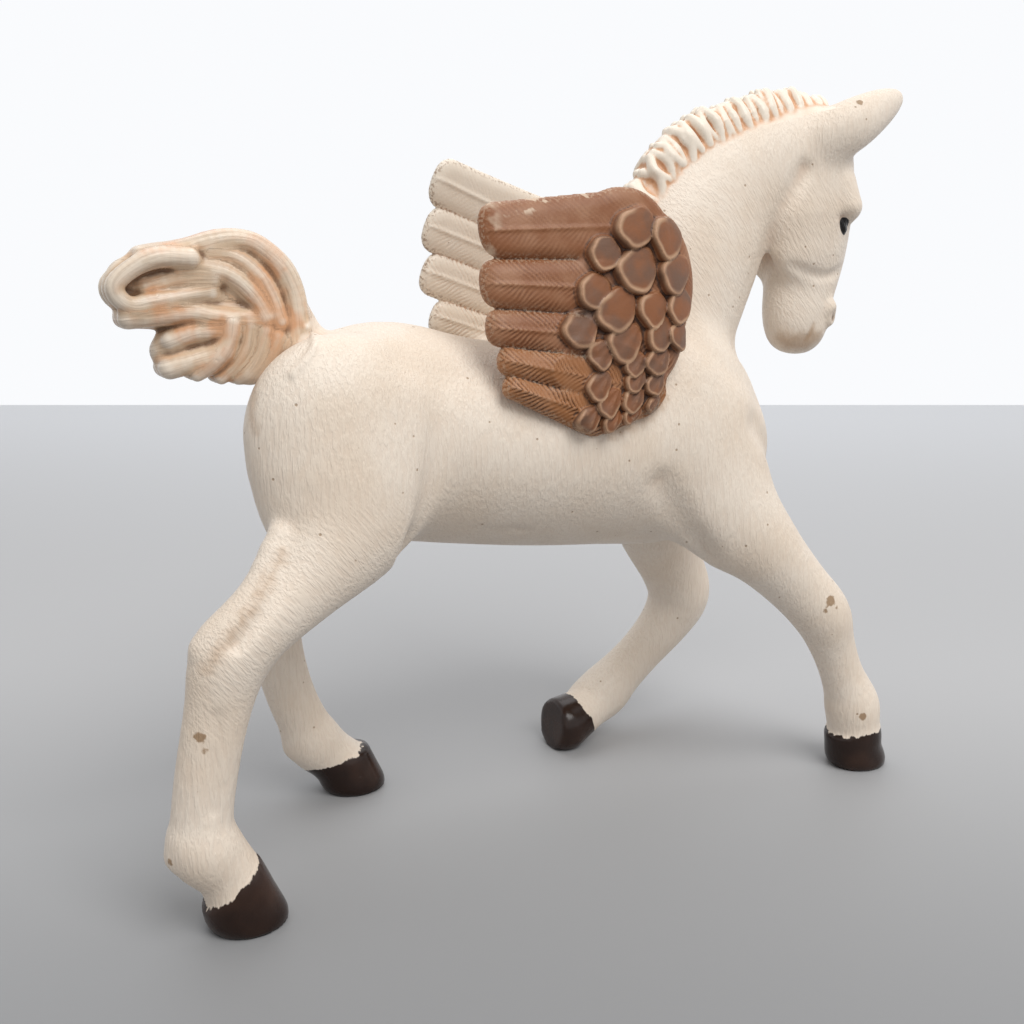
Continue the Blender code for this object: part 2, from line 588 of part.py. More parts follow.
class Wing:
    """A curved plate of long feathers and scale-like coverts. Its own axes are the near wing's:
    forward, upward and out from the flank."""

    # Long feathers of each wing: back end, front end (forward, upward) and half width at each
    PRIMARIES = {
        -1: (
            ((-9.3, 69.9, 3.0), (5.0, 70.5, 3.9)),
            ((-10.2, 64.4, 2.6), (5.0, 63.8, 3.5)),
            ((-10.6, 59.9, 2.0), (4.0, 58.7, 2.6)),
            ((-10.0, 56.5, 1.6), (2.0, 53.9, 2.7)),
            ((-9.9, 53.8, 1.3), (-1.0, 50.6, 2.3)),
        ),
        1: (
            ((-8.9, 75.2, 2.9), (5.0, 70.6, 3.6)),
            ((-9.6, 70.2, 2.7), (5.0, 65.8, 3.4)),
            ((-9.6, 65.2, 2.6), (4.0, 61.0, 3.0)),
            ((-8.4, 60.2, 2.2), (3.0, 56.8, 2.6)),
            ((-7.6, 56.4, 1.7), (1.0, 52.8, 2.3)),
        ),
    }
    # Round fore part: centre and radius
    SHOULDER = (
        (4.4, 68.1, 6.6),
        (5.6, 65.0, 8.2),
        (4.6, 59.8, 7.0),
        (3.0, 55.6, 5.7),
        (0.4, 52.5, 4.1),
    )
    # Scale-like coverts: middle (forward, upward), half length and half width
    SCALES = (
        ((4.9, 70.4), 2.7, 2.1), ((9.2, 69.4), 2.5, 2.3),
        ((0.9, 67.6), 2.0, 1.8), ((4.7, 65.9), 2.7, 2.4), ((10.0, 65.5), 2.6, 2.0),
        ((-0.7, 63.7), 2.1, 1.8), ((1.8, 61.7), 2.8, 2.2), ((6.4, 61.7), 2.1, 1.9), ((10.4, 62.0), 2.2, 1.8),
        ((-2.6, 59.8), 2.3, 1.9), ((2.6, 58.3), 2.4, 2.0), ((7.4, 59.1), 2.3, 1.7), ((10.0, 58.8), 1.6, 1.7),
        ((-0.5, 57.1), 1.6, 1.6), ((3.7, 56.0), 1.6, 1.3), ((6.8, 56.3), 2.0, 1.5),
        ((-0.8, 53.8), 1.8, 1.4), ((3.7, 54.3), 1.6, 1.2), ((6.3, 53.8), 1.5, 1.2),
        ((0.4, 52.0), 1.8, 1.4), ((3.4, 52.2), 1.7, 1.3), ((6.2, 51.5), 1.2, 1.0),
        ((-2.1, 50.3), 1.7, 1.3), ((0.8, 50.0), 1.5, 1.1), ((3.4, 50.6), 1.5, 1.1),
    )

    def __init__(self, side):
        self.side = side

    def measure(self):
        """A ruler that has taken in the plate, which reaches past its root on every side."""
        ruler = Ruler()
        ends = [end for feather in self.PRIMARIES[self.side] for end in feather]
        rounds = np.array(ends + list(self.SHOULDER))
        for out in (FLANK_SURFACE - SEAT_DEPTH, PLATE_OUT + WING_THICKNESS / 2 + SCALE_RISE):
            centres = np.insert(rounds[:, :2] + (AHEAD, LIFT), 1, self.side * out, axis=1)
            ruler.take_in(centres, rounds[:, 2:] * (1.0, 0.0, 1.0))
        return ruler

    def to_plate(self, points):
        """The plate's forward, upward and outward coordinates at points in the horse's axes."""
        forward = points[0] - AHEAD
        upward = points[2] - LIFT
        height = np.clip((upward - PLATE_LOW) / PLATE_SPAN, 0.0, 1.2)
        behind = np.clip((PLATE_BEND_AT - forward) / PLATE_REAR_SPAN, 0.0, 1.2)
        ahead = np.clip((forward - PLATE_BEND_AT) / PLATE_FORE_SPAN, 0.0, 1.0)
        middle = PLATE_OUT - PLATE_LEAN_IN * height**1.5 - PLATE_FORE_IN * ahead**2
        middle = middle - behind**1.5 * (PLATE_REAR_IN[0] + PLATE_REAR_IN[1] * height)
        return forward, upward, self.side * points[1] - middle

    def outline(self, forward, upward):
        """Distance to the plate's outline, and each long feather's own field and dome."""
        edge = np.full(np.broadcast_shapes(forward.shape, upward.shape), FAR_AWAY)
        domes = np.zeros(edge.shape)
        for (ax, az, ar), (bx, bz, br) in self.PRIMARIES[self.side]:
            dx, dz = bx - ax, bz - az
            length = math.hypot(dx, dz)
            reach = ((forward - ax) * dx + (upward - az) * dz) / length
            along = np.clip(reach / length, 0.0, 1.0)
            across = np.abs((forward - ax) * dz - (upward - az) * dx) / length
            beyond = np.maximum(-reach, 0.0) + np.maximum(reach - length, 0.0)
            gap = (across**TIP_SQUARENESS + beyond**TIP_SQUARENESS) ** (1.0 / TIP_SQUARENESS)
            half = ar + (br - ar) * along
            edge = np.minimum(edge, gap - half)
            dome = np.sqrt(np.clip(1.0 - (gap / (half + 0.25)) ** 2, 0.0, 1.0))
            domes = np.maximum(domes, dome)
        for (ax, az, ar), (bx, bz, br) in zip(self.SHOULDER[:-1], self.SHOULDER[1:]):
            dx, dz = bx - ax, bz - az
            length2 = dx * dx + dz * dz
            along = np.clip(((forward - ax) * dx + (upward - az) * dz) / length2, 0.0, 1.0)
            gap = np.hypot(forward - ax - along * dx, upward - az - along * dz)
            edge = np.minimum(edge, gap - (ar + (br - ar) * along))
        return edge, domes

    def scales(self, forward, upward):
        """How far the scales stand up: each is tilted, so its rear rim lies over the next."""
        rise = np.zeros(np.broadcast_shapes(forward.shape, upward.shape))
        for (x, z), half_length, half_width in self.SCALES:
            tilt = math.radians(SCALE_TILT[0] + SCALE_TILT[1] * (PLATE_LOW + PLATE_SPAN - z))
            back = -(forward - x) * math.cos(tilt) - (upward - z) * math.sin(tilt)
            across = (forward - x) * math.sin(tilt) - (upward - z) * math.cos(tilt)
            reach = np.hypot(back / half_length, across / half_width)
            rim = np.clip((1.08 - reach) / 0.17, 0.0, 1.0)
            rise = np.maximum(rise, rim * (0.6 + 0.3 * back / half_length))
        return rise

    def field(self, points):
        """Distance to the wing without its root."""
        forward, upward, outward = self.to_plate(points)
        edge, domes = self.outline(forward, upward)
        covered = self.scales(forward, upward)
        fore = np.clip((forward + 6.0) / 8.0, 0.0, 1.0)
        half = WING_THICKNESS / 2
        inset = np.clip(-edge / RIM_ROUNDING, 0.0, 1.0)
        rounding = half * (1.0 - np.sqrt(1.0 - (1.0 - inset) ** 2)) * 0.8
        valleys = FEATHER_DOME * (1.0 - domes) * (1.0 - 0.8 * fore)
        outer = half - valleys + SCALE_RISE * covered - rounding
        inner = half - INNER_DOME * (1.0 - domes) - rounding
        faces = np.maximum(outward - outer, -outward - inner)
        return np.maximum(faces * 0.85, edge)

    def root_field(self, points, grow):
        """The tongue that goes into the flank, grown by a clearance."""
        x, y, z = points
        forward = x - AHEAD - ROOT_MIDDLE[0]
        upward = z - LIFT - ROOT_MIDDLE[1] + ROOT_SLOPE * forward
        long_share = forward / (ROOT_HALF_LENGTH + grow)
        high_share = upward / (ROOT_HALF_HEIGHT + grow)
        oval = (np.sqrt(long_share**2 + high_share**2) - 1.0) * ROOT_HALF_HEIGHT
        inner_end = FLANK_SURFACE - SEAT_DEPTH - grow - self.side * y
        outer_end = self.side * y - ROOT_OUTER_END
        return np.maximum(np.maximum(oval, inner_end), outer_end)


def add_forms(clay):
    """Everything of the body that is built from chains."""
    for add in (add_trunk, add_neck, add_head, add_legs, add_tail, add_mane):
        add(clay)


def sculpt_body():
    """The whole moulded body, before the seats for the wings are cut."""
    ruler = Ruler()
    add_forms(ruler)
    soles = np.array([(x, y, GROUND) for x, y, _ in STANDING_HOOVES])
    ruler.take_in(soles, HOOF_LENGTH_HALF)
    clay = ruler.clay(BODY_STEP)
    add_forms(clay)
    add_hooves(clay)
    return clay


def sculpt_wing(side, body):
    """One wing, trimmed to clear the body, with its root left whole to go into the seat."""
    wing = Wing(side)
    clay = wing.measure().clay(WING_STEP)
    cut, points = clay.window(*clay.corners())
    plate = wing.field(points)
    flank = sample(body, points)
    root = wing.root_field(points, 0.0)
    trimmed = np.maximum(smooth_min(plate, root, ROOT_BLEND), SEAT_GAP - flank)
    clay.field[cut] = np.minimum(trimmed, root)
    return clay


def sample(clay, points):
    """A clay's field at the points of a finer grid, by straight-line interpolation."""
    values = clay.field
    for axis, part in enumerate(points):
        place = np.clip((part.ravel() - clay.low[axis]) / clay.step, 0, values.shape[axis] - 1.001)
        first = place.astype(int)
        share = (place - first).reshape([-1 if i == axis else 1 for i in range(3)])
        values = np.take(values, first, axis) * (1 - share) + np.take(values, first + 1, axis) * share
    return values


def seat_wings(clay):
    """Cuts the two pockets that take the wing roots, with the clearance all round."""
    for side in (-1, 1):
        near, far = sorted((0.0, side * (ROOT_OUTER_END + 2 * SEAT_GAP)))
        middle = (ROOT_MIDDLE[0] + AHEAD, ROOT_MIDDLE[1] + LIFT)
        reach = ROOT_HALF_LENGTH + ROOT_HALF_HEIGHT
        low = (middle[0] - reach, near, middle[1] - reach)
        high = (middle[0] + reach, far, middle[1] + reach)
        cut, points = clay.window(low, high)
        pocket = Wing(side).root_field(points, SEAT_GAP)
        clay.field[cut] = np.maximum(clay.field[cut], -pocket)


def stand_flat(clay):
    """Cuts everything below the ground away."""
    clay.field = np.maximum(clay.field, GROUND - clay.axes[2][None, None, :])


def make_material(name, colour, roughness):
    """A plain painted plastic."""
    material = bpy.data.materials.new(name)
    material.use_nodes = True
    shader = material.node_tree.nodes["Principled BSDF"]
    shader.inputs["Base Color"].default_value = (*colour, 1.0)
    shader.inputs["Roughness"].default_value = roughness
    shader.inputs["Metallic"].default_value = 0.0
    return material


def base_middle(vertex_sets):
    """The middle of the whole figure's box, at ground level."""
    low = np.min([vertices.min(0) for vertices in vertex_sets], axis=0)
    high = np.max([vertices.max(0) for vertices in vertex_sets], axis=0)
    middle = (low + high) / 2
    return np.array([middle[0], middle[1], GROUND])


def make_object(name, surface, origin, triangles, material, parent):
    """A surface as a mesh object about a new origin, thinned to about a number of triangles."""
    vertices, quads = surface
    placed = vertices - origin
    placed[placed[:, 2] < SOLE_SNAP, 2] = 0.0
    mesh = bpy.data.meshes.new(name)
    mesh.from_pydata((placed * MM).tolist(), [], quads.tolist())
    mesh.validate()
    mesh.materials.append(material)
    mesh.shade_smooth()
    made = bpy.data.objects.new(name, mesh)
    bpy.context.scene.collection.objects.link(made)
    made.parent = parent
    thinner = made.modifiers.new("Thinner", "DECIMATE")
    thinner.ratio = min(1.0, triangles / (2 * len(quads)))
    return made


def main():
    for old in list(bpy.data.objects):
        bpy.data.objects.remove(old)
    figure = bpy.data.objects.new("figure", None)
    bpy.context.scene.collection.objects.link(figure)
    cream = make_material("cream_paint", (0.84, 0.76, 0.66), 0.42)
    brown = make_material("brown_feather_paint", (0.30, 0.15, 0.08), 0.5)
    pearl = make_material("pearl_feather_paint", (0.85, 0.74, 0.62), 0.35)
    body = sculpt_body()
    wings = {-1: sculpt_wing(-1, body), 1: sculpt_wing(1, body)}
    seat_wings(body)
    stand_flat(body)
    pieces = {
        "body": (body.sound_surface(), BODY_TRIANGLES, cream),
        "wing_right": (wings[-1].sound_surface(), WING_TRIANGLES, brown),
        "wing_left": (wings[1].sound_surface(), WING_TRIANGLES, pearl),
    }
    origin = base_middle([surface[0] for surface, _, _ in pieces.values()])
    for name, (surface, triangles, material) in pieces.items():
        make_object(name, surface, origin, triangles, material, figure)


main()
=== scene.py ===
"""Pegasus foal figurine: fine carving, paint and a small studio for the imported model.

The moulded body and the two wings are carved again on finer grids than the solids they stand for,
and then painted with procedural finishes. Carving sizes are in millimetres, in the carving's own
frame: X points to the head, Y to the horse's left and Z up, with the ground at CARVING_GROUND.
"""

from __future__ import annotations

import logging
import math
from dataclasses import dataclass
from enum import Enum
from typing import Sequence

import bpy
import numpy as np
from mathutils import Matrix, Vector

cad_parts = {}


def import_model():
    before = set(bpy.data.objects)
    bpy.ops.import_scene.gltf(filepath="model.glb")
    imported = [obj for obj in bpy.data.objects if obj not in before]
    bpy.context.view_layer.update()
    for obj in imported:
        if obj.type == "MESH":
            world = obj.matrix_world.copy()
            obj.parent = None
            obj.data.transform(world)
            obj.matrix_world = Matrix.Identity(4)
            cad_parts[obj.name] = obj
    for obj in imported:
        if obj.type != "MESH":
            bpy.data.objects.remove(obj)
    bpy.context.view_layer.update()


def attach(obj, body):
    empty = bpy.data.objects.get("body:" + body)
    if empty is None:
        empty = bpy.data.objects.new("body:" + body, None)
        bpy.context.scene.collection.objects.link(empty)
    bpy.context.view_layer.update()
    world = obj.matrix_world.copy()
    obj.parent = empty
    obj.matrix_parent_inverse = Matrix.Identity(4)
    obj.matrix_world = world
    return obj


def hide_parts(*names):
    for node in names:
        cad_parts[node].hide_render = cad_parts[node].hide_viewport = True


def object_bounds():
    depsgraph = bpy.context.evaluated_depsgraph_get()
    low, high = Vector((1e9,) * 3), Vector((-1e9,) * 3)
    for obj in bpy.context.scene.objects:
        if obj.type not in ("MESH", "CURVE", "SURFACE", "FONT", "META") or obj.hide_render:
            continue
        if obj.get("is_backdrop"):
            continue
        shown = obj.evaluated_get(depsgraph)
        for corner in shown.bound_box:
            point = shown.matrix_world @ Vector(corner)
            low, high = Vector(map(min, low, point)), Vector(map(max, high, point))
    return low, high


MM = 0.001
CARVING_GROUND = 1.75
FAR_AWAY = 50.0
SIDES = (-1, 1)
SPLINE_STEPS = 4

Stations = Sequence[Sequence[float]]
Axes = tuple[np.ndarray, np.ndarray, np.ndarray]
Marks = dict[str, np.ndarray]
Colour = tuple[float, float, float]
Socket = bpy.types.NodeSocket
Block = tuple[tuple[float, float, float], tuple[float, float, float]]
WINGS_BLOCK: Block = ((-21, -18, 43), (18, 18, 83))
WINGS_STEP = 0.4

log = logging.getLogger("pegasus")


class Side(Enum):
    """A side of the horse, as the sign of Y there."""

    NEAR = -1
    FAR = 1


# Carving kit


def unit(values: np.ndarray) -> np.ndarray:
    """Keeps values between 0 and 1."""
    return np.clip(values, 0.0, 1.0)


def smooth_min(first: np.ndarray, second: np.ndarray, blend: float) -> np.ndarray:
    """Joins two distance fields with a fillet.

    Args:
        first: Distances to one form.
        second: Distances to the other form.
        blend: Width of the fillet.

    Returns:
        Distances to the union.
    """
    share = unit(0.5 + 0.5 * (second - first) / blend)
    return second * (1 - share) + first * share - blend * share * (1 - share)


def bone_distance(points: Axes, start: np.ndarray, end: np.ndarray, side: Sequence[float]) -> np.ndarray:
    """Measures the distance to a tapered bone.

    Args:
        points: X, Y and Z arrays that broadcast together.
        start: Station (x, y, z, radius, sideways radius / radius).
        end: The station at the bone's other end.
        side: Unit direction in which the section is flattened.

    Returns:
        Distances, negative inside.
    """
    axis = end[:3] - start[:3]
    length2 = float(axis @ axis) or 1e-9
    offset = [points[i] - start[i] for i in range(3)]
    along = unit(sum(offset[i] * axis[i] for i in range(3)) / length2)
    across = [offset[i] - along * axis[i] for i in range(3)]
    sideways = sum(across[i] * side[i] for i in range(3))
    rest = sum(part * part for part in across) - sideways * sideways
    flat = start[4] + (end[4] - start[4]) * along
    radius = start[3] + (end[3] - start[3]) * along
    reach = np.sqrt(np.maximum(rest, 0.0) + (sideways / flat) ** 2)
    return (reach - radius) * np.minimum(flat, 1.0)


def smooth_stations(stations: Stations) -> np.ndarray:
    """Puts more stations between the given ones, on a curve through all of them.

    Args:
        stations: Rows of numbers, one row a station.

    Returns:
        The longer list, as an array.
    """
    given = np.array(stations, float)
    if len(given) < 3:
        return given
    padded = np.vstack([2 * given[0] - given[1], given, 2 * given[-1] - given[-2]])
    curve = []
    for i in range(1, len(padded) - 2):
        before, here, there, after = padded[i - 1 : i + 3]
        for k in range(SPLINE_STEPS):
            t = k / SPLINE_STEPS
            slope = (there - before) * t
            bend = (2 * before - 5 * here + 4 * there - after) * t * t
            twist = (3 * here - 3 * there + after - before) * t**3
            curve.append(0.5 * (2 * here + slope + bend + twist))
    curve.append(given[-1])
    return np.array(curve)


def on_side(stations: Stations, side: int) -> list[tuple[float, ...]]:
    """Puts stations given for positive Y on a side of the horse.

    Args:
        stations: Stations whose second number is Y.
        side: Sign of Y.

    Returns:
        The stations on that side.
    """
    return [(s[0], side * s[1]) + tuple(s[2:]) for s in stations]


def chain_distance(spots: np.ndarray, stations: Stations, joint: float = 0.6) -> np.ndarray:
    """Measures how far scattered points are from a chain of bones.

    Args:
        spots: One row of x, y, z for each point.
        stations: Stations of five numbers; with three or four, radius 0 and a round section are used.
        joint: Fillet between the bones.

    Returns:
        A distance for each point, negative inside.
    """
    full = [tuple(s[:3]) + (s[3] if len(s) > 3 else 0.0, s[4] if len(s) > 4 else 1.0) for s in stations]
    curve = smooth_stations(full)
    points = (spots[:, 0], spots[:, 1], spots[:, 2])
    nearest = np.full(len(spots), FAR_AWAY)
    for start, end in zip(curve[:-1], curve[1:]):
        nearest = smooth_min(nearest, bone_distance(points, start, end, (0.0, 1.0, 0.0)), joint)
    return nearest


class Clay:
    """A block of clay: a grid of distances, below zero inside the solid."""

    def __init__(self, low: Sequence[float], high: Sequence[float], step: float) -> None:
        """Lays out an empty grid.

        Args:
            low: Lowest corner.
            high: Highest corner.
            step: Grid spacing.
        """
        self.low = np.array(low, float)
        self.step = step
        counts = [int(math.ceil((high[i] - low[i]) / step)) + 1 for i in range(3)]
        self.axes = [low[i] + step * np.arange(counts[i]) for i in range(3)]
        self.field = np.full(counts, FAR_AWAY)

    def window(self, low: Sequence[float], high: Sequence[float]) -> tuple[tuple[slice, ...], Axes]:
        """Finds the part of the grid in a box.

        Args:
            low: Lowest corner of the box.
            high: Highest corner of the box.

        Returns:
            The slices of the grid, and its points as three arrays that broadcast.
        """
        cut = []
        for i in range(3):
            first = int(math.floor((low[i] - self.low[i]) / self.step))
            last = int(math.ceil((high[i] - self.low[i]) / self.step)) + 1
            size = len(self.axes[i])
            first = min(max(first, 0), size)
            cut.append(slice(first, max(first, min(last, size))))
        x, y, z = (self.axes[i][cut[i]] for i in range(3))
        return tuple(cut), (x[:, None, None], y[None, :, None], z[None, None, :])

    def add(self, stations: Stations, blend: float = 1.0, joint: float = 0.6) -> None:
        """Adds a chain of bones, with a fillet where it meets the clay.

        Args:
            stations: Stations of five numbers.
            blend: Fillet to the clay.
            joint: Fillet between the bones.
        """
        curve = smooth_stations(stations)
        margin = blend + 2 * self.step
        most = float((curve[:, 3] * np.maximum(1.0, curve[:, 4])).max()) + margin
        cut, _ = self.window(curve[:, :3].min(0) - most, curve[:, :3].max(0) + most)
        local = np.full([part.stop - part.start for part in cut], FAR_AWAY)
        if local.size == 0:
            return
        for start, end in zip(curve[:-1], curve[1:]):
            near = max(start[3] * max(1.0, start[4]), end[3] * max(1.0, end[4])) + margin
            low = np.minimum(start[:3], end[:3]) - near
            high = np.maximum(start[:3], end[:3]) + near
            small, inner = self.window(low, high)
            inside = tuple(slice(s.start - c.start, s.stop - c.start) for s, c in zip(small, cut))
            bone = bone_distance(inner, start, end, (0.0, 1.0, 0.0))
            local[inside] = smooth_min(local[inside], bone, joint)
        self.field[cut] = smooth_min(self.field[cut], local, blend)

    def groove(self, path: Stations, width: float, depth: float) -> None:
        """Presses a soft groove along a path.

        Args:
            path: Points of x, y, z.
            width: Half width of the groove.
            depth: How deep it goes. A negative depth raises a ridge.
        """
        curve = smooth_stations(path)
        reach = 3 * width
        cut, points = self.window(curve.min(0) - reach, curve.max(0) + reach)
        nearest = np.full([part.stop - part.start for part in cut], FAR_AWAY)
        for start, end in zip(curve[:-1], curve[1:]):
            axis = end - start
            along = sum((points[i] - start[i]) * axis[i] for i in range(3)) / float(axis @ axis)
            along = unit(along)
            gap2 = sum((points[i] - start[i] - along * axis[i]) ** 2 for i in range(3))
            nearest = np.minimum(nearest, gap2)
        self.field[cut] += depth * np.exp(-nearest / width**2)

    def skin(self, x: float, z: float, side: int) -> float:
        """Finds how far out the clay reaches at a place seen from one side.

        Args:
            x: Place along the horse.
            z: Height.
            side: Sign of Y.

        Returns:
            The Y there, or one far away where the grid holds no clay.
        """
        i = int(round((x - self.low[0]) / self.step))
        k = int(round((z - self.low[2]) / self.step))
        if not (0 <= i < self.field.shape[0] and 0 <= k < self.field.shape[2]):
            return side * FAR_AWAY
        column = self.axes[1][self.field[i, :, k] < 0.0]
        if not len(column):
            return side * FAR_AWAY
        return float(column.max() if side > 0 else column.min())

    def sample(self, points: Axes) -> np.ndarray:
        """Reads the field at the points of another grid.

        Args:
            points: X, Y and Z arrays that broadcast.

        Returns:
            Distances, by straight-line interpolation.
        """
        values = self.field
        for axis, part in enumerate(points):
            place = np.clip((part.ravel() - self.low[axis]) / self.step, 0, values.shape[axis] - 1.001)
            first = place.astype(int)
            share = (place - first).reshape([-1 if i == axis else 1 for i in range(3)])
            values = np.take(values, first, axis) * (1 - share) + np.take(values, first + 1, axis) * share
        return values

    def at(self, spots: np.ndarray) -> np.ndarray:
        """Reads the field at scattered points.

        Args:
            spots: One row of x, y, z for each point.

        Returns:
            A distance for each point.
        """
        place = np.clip((spots - self.low) / self.step, 0, np.array(self.field.shape) - 1.001)
        first = place.astype(int)
        share = place - first
        total = np.zeros(len(spots))
        for corner in np.ndindex(2, 2, 2):
            weight = np.prod(np.where(np.array(corner), share, 1 - share), axis=1)
            total += weight * self.field[tuple((first + np.array(corner)).T)]
        return total

    def surface(self) -> tuple[np.ndarray, np.ndarray, np.ndarray]:
        """Makes the zero surface, with one vertex in each cell that it crosses.

        Returns:
            Vertices, outward quads, and the cell of each vertex.
        """
        field = self.field
        counts = field.shape
        cells = tuple(n - 1 for n in counts)
        crossings = np.zeros(cells)
        place = [np.zeros(cells) for _ in range(3)]
        for axis in range(3):
            others = [i for i in range(3) if i != axis]
            for corner in ((0, 0), (0, 1), (1, 0), (1, 1)):
                start = [0, 0, 0]
                start[others[0]], start[others[1]] = corner
                end = list(start)
                end[axis] = 1
                a = field[tuple(slice(s, s + n) for s, n in zip(start, cells))]
                b = field[tuple(slice(s, s + n) for s, n in zip(end, cells))]
                crossed = (a < 0) != (b < 0)
                crossings += crossed
                place[axis] += np.where(crossed, a / np.where(crossed, a - b, 1.0), 0.0)
                place[others[0]] += crossed * corner[0]
                place[others[1]] += crossed * corner[1]
        used = crossings > 0
        cell_of = np.argwhere(used)
        number = np.full(cells, -1)
        number[used] = np.arange(len(cell_of))
        shift = np.stack([part[used] / crossings[used] for part in place], axis=1)
        vertices = (cell_of + shift) * self.step + self.low
        quads = []
        for axis in range(3):
            others = [i for i in range(3) if i != axis]
            start = [slice(1, n - 1) for n in counts]
            start[axis] = slice(0, counts[axis] - 1)
            end = list(start)
            end[axis] = slice(1, counts[axis])
            leaving = field[tuple(start)] < 0
            crossed = leaving != (field[tuple(end)] < 0)
            edge = np.argwhere(crossed)
            edge[:, others] += 1
            ring = []
            for back in ((1, 1), (0, 1), (0, 0), (1, 0)):
                cell = edge.copy()
                cell[:, others] -= np.array(back)
                ring.append(number[tuple(cell.T)])
            quad = np.stack(ring, axis=1)
            outward = leaving[crossed] != (axis == 1)
            quad[~outward] = quad[~outward][:, ::-1]
            quads.append(quad)
        return vertices, np.concatenate(quads), cell_of

    def settled(self, vertices: np.ndarray) -> np.ndarray:
        """Moves vertices onto the zero surface, along the field's slope.

        Args:
            vertices: Vertices close to the surface.

        Returns:
            The moved vertices.
        """
        half = 0.5 * self.step
        slope = np.zeros_like(vertices)
        for axis in range(3):
            ahead = np.zeros(3)
            ahead[axis] = half
            slope[:, axis] = (self.at(vertices + ahead) - self.at(vertices - ahead)) / (2 * half)
        size2 = np.maximum((slope**2).sum(1), 0.05)
        move = self.at(vertices)[:, None] * slope / size2[:, None]
        return vertices - np.clip(move, -half, half)


def neighbour_mean(values: np.ndarray, ends: np.ndarray, uses: np.ndarray) -> np.ndarray:
    """Averages each vertex's neighbours.

    Args:
        values: One row for each vertex.
        ends: Pairs of vertex numbers, both ways round.
        uses: How many pairs start at each vertex.

    Returns:
        The averages.
    """
    columns = [np.bincount(ends[:, 0], values[ends[:, 1], i], len(values)) for i in range(values.shape[1])]
    return np.stack(columns, axis=1) / np.maximum(uses, 1)[:, None]


def hollows(vertices: np.ndarray, quads: np.ndarray, rounds: int) -> np.ndarray:
    """Measures how deep each vertex lies below its smoothed surroundings.

    Args:
        vertices: Vertices of the surface.
        quads: Its outward quads.
        rounds: How many times the surroundings are smoothed; more takes in a wider patch.

    Returns:
        Depths in millimetres, positive in a hollow and negative on a ridge.
    """
    ends = np.concatenate([quads[:, [i, (i + 1) % 4]] for i in range(4)])
    ends = np.concatenate([ends, ends[:, ::-1]])
    uses = np.bincount(ends[:, 0], minlength=len(vertices))
    corners = [vertices[quads[:, i]] for i in range(4)]
    face = np.cross(corners[2] - corners[0], corners[3] - corners[1])
    spread = np.repeat(face, 4, axis=0)
    normal = np.stack([np.bincount(quads.ravel(), spread[:, i], len(vertices)) for i in range(3)], 1)
    normal /= np.maximum(np.linalg.norm(normal, axis=1), 1e-9)[:, None]
    smoothed = vertices
    for _ in range(rounds):
        smoothed = neighbour_mean(smoothed, ends, uses)
    return ((smoothed - vertices) * normal).sum(1)


@dataclass(frozen=True)
class Lump:
    """A rounded form on one side of the horse, given for positive Y, with its fillet."""

    stations: Stations
    blend: float = 1.0

    def shape(self, clay: Clay, side: int) -> None:
        """Adds the form on a side."""
        clay.add(on_side(self.stations, side), blend=self.blend)


@dataclass(frozen=True)
class Crease:
    """A soft groove, given for positive Y. A negative depth raises a ridge."""

    path: Stations
    width: float
    depth: float

    def shape(self, clay: Clay, side: int) -> None:
        """Presses the groove on a side."""
        clay.groove(on_side(self.path, side), self.width, self.depth)


# The carved sub-assemblies


@dataclass(frozen=True)
class Trunk:
    """Barrel, chest, croup and the breast muscles."""

    barrel: Stations = (
        (-24.0, 0, 48.6, 10.6, 0.80), (-20.0, 0, 48.6, 11.6, 0.88), (-12.0, 0, 47.0, 11.4, 0.95),
        (-2.0, 0, 45.9, 11.7, 1.0), (8.0, 0, 46.2, 12.9, 0.92), (16.0, 0, 45.6, 12.9, 0.80),
        (18.6, 0, 45.0, 10.6, 0.80),
    )
    breast: Lump = Lump(((18.5, 4.6, 49.0, 6.4, 0.9), (21.2, 4.4, 44.6, 5.8, 0.9)), 2.0)
    hip_hollow: Crease = Crease(((-21.5, 8.6, 56.8), (-17.0, 9.6, 55.6), (-12.5, 9.4, 56.6)), 1.8, 0.28)
    belly_crease: Crease = Crease(((-15.5, 8.2, 38.2), (-11.0, 8.0, 37.6), (-7.0, 7.6, 37.9)), 0.6, 0.3)

    def carve(self, clay: Clay) -> None:
        """Adds the trunk to the clay."""
        clay.add(self.barrel)
        for side in SIDES:
            self.breast.shape(clay, side)

    def crease(self, clay: Clay) -> None:
        """Presses the shallow hollow below the hip and the crease of the belly."""
        for side in SIDES:
            self.hip_hollow.shape(clay, side)
            self.belly_crease.shape(clay, side)


@dataclass(frozen=True)
class Neck:
    """Arched neck from the withers to the poll."""

    crest: Stations = (
        (9.5, 0, 50.0, 12.2, 0.74), (15.2, 0, 59.5, 10.5, 0.62), (20.0, 0, 68.1, 9.5, 0.56),
        (25.2, 0, 74.6, 7.7, 0.56), (32.5, 0, 79.0, 6.4, 0.66), (36.5, 0, 80.2, 5.6, 0.75),
    )
    blend: float = 3.0
    windpipe: Crease = Crease(((29.6, 4.4, 69.5), (26.2, 5.4, 63.0), (23.4, 6.0, 56.5)), 1.2, 0.3)
    shoulder_line: Crease = Crease(((14.6, 8.6, 58.5), (19.0, 9.6, 54.6), (24.0, 8.6, 50.8)), 1.6, 0.3)

    def carve(self, clay: Clay) -> None:
        """Adds the neck to the clay."""
        clay.add(self.crest, blend=self.blend)

    def crease(self, clay: Clay) -> None:
        """Presses the soft hollows beside the windpipe and in front of the shoulder."""
        for side in SIDES:
            self.windpipe.shape(clay, side)
            self.shoulder_line.shape(clay, side)


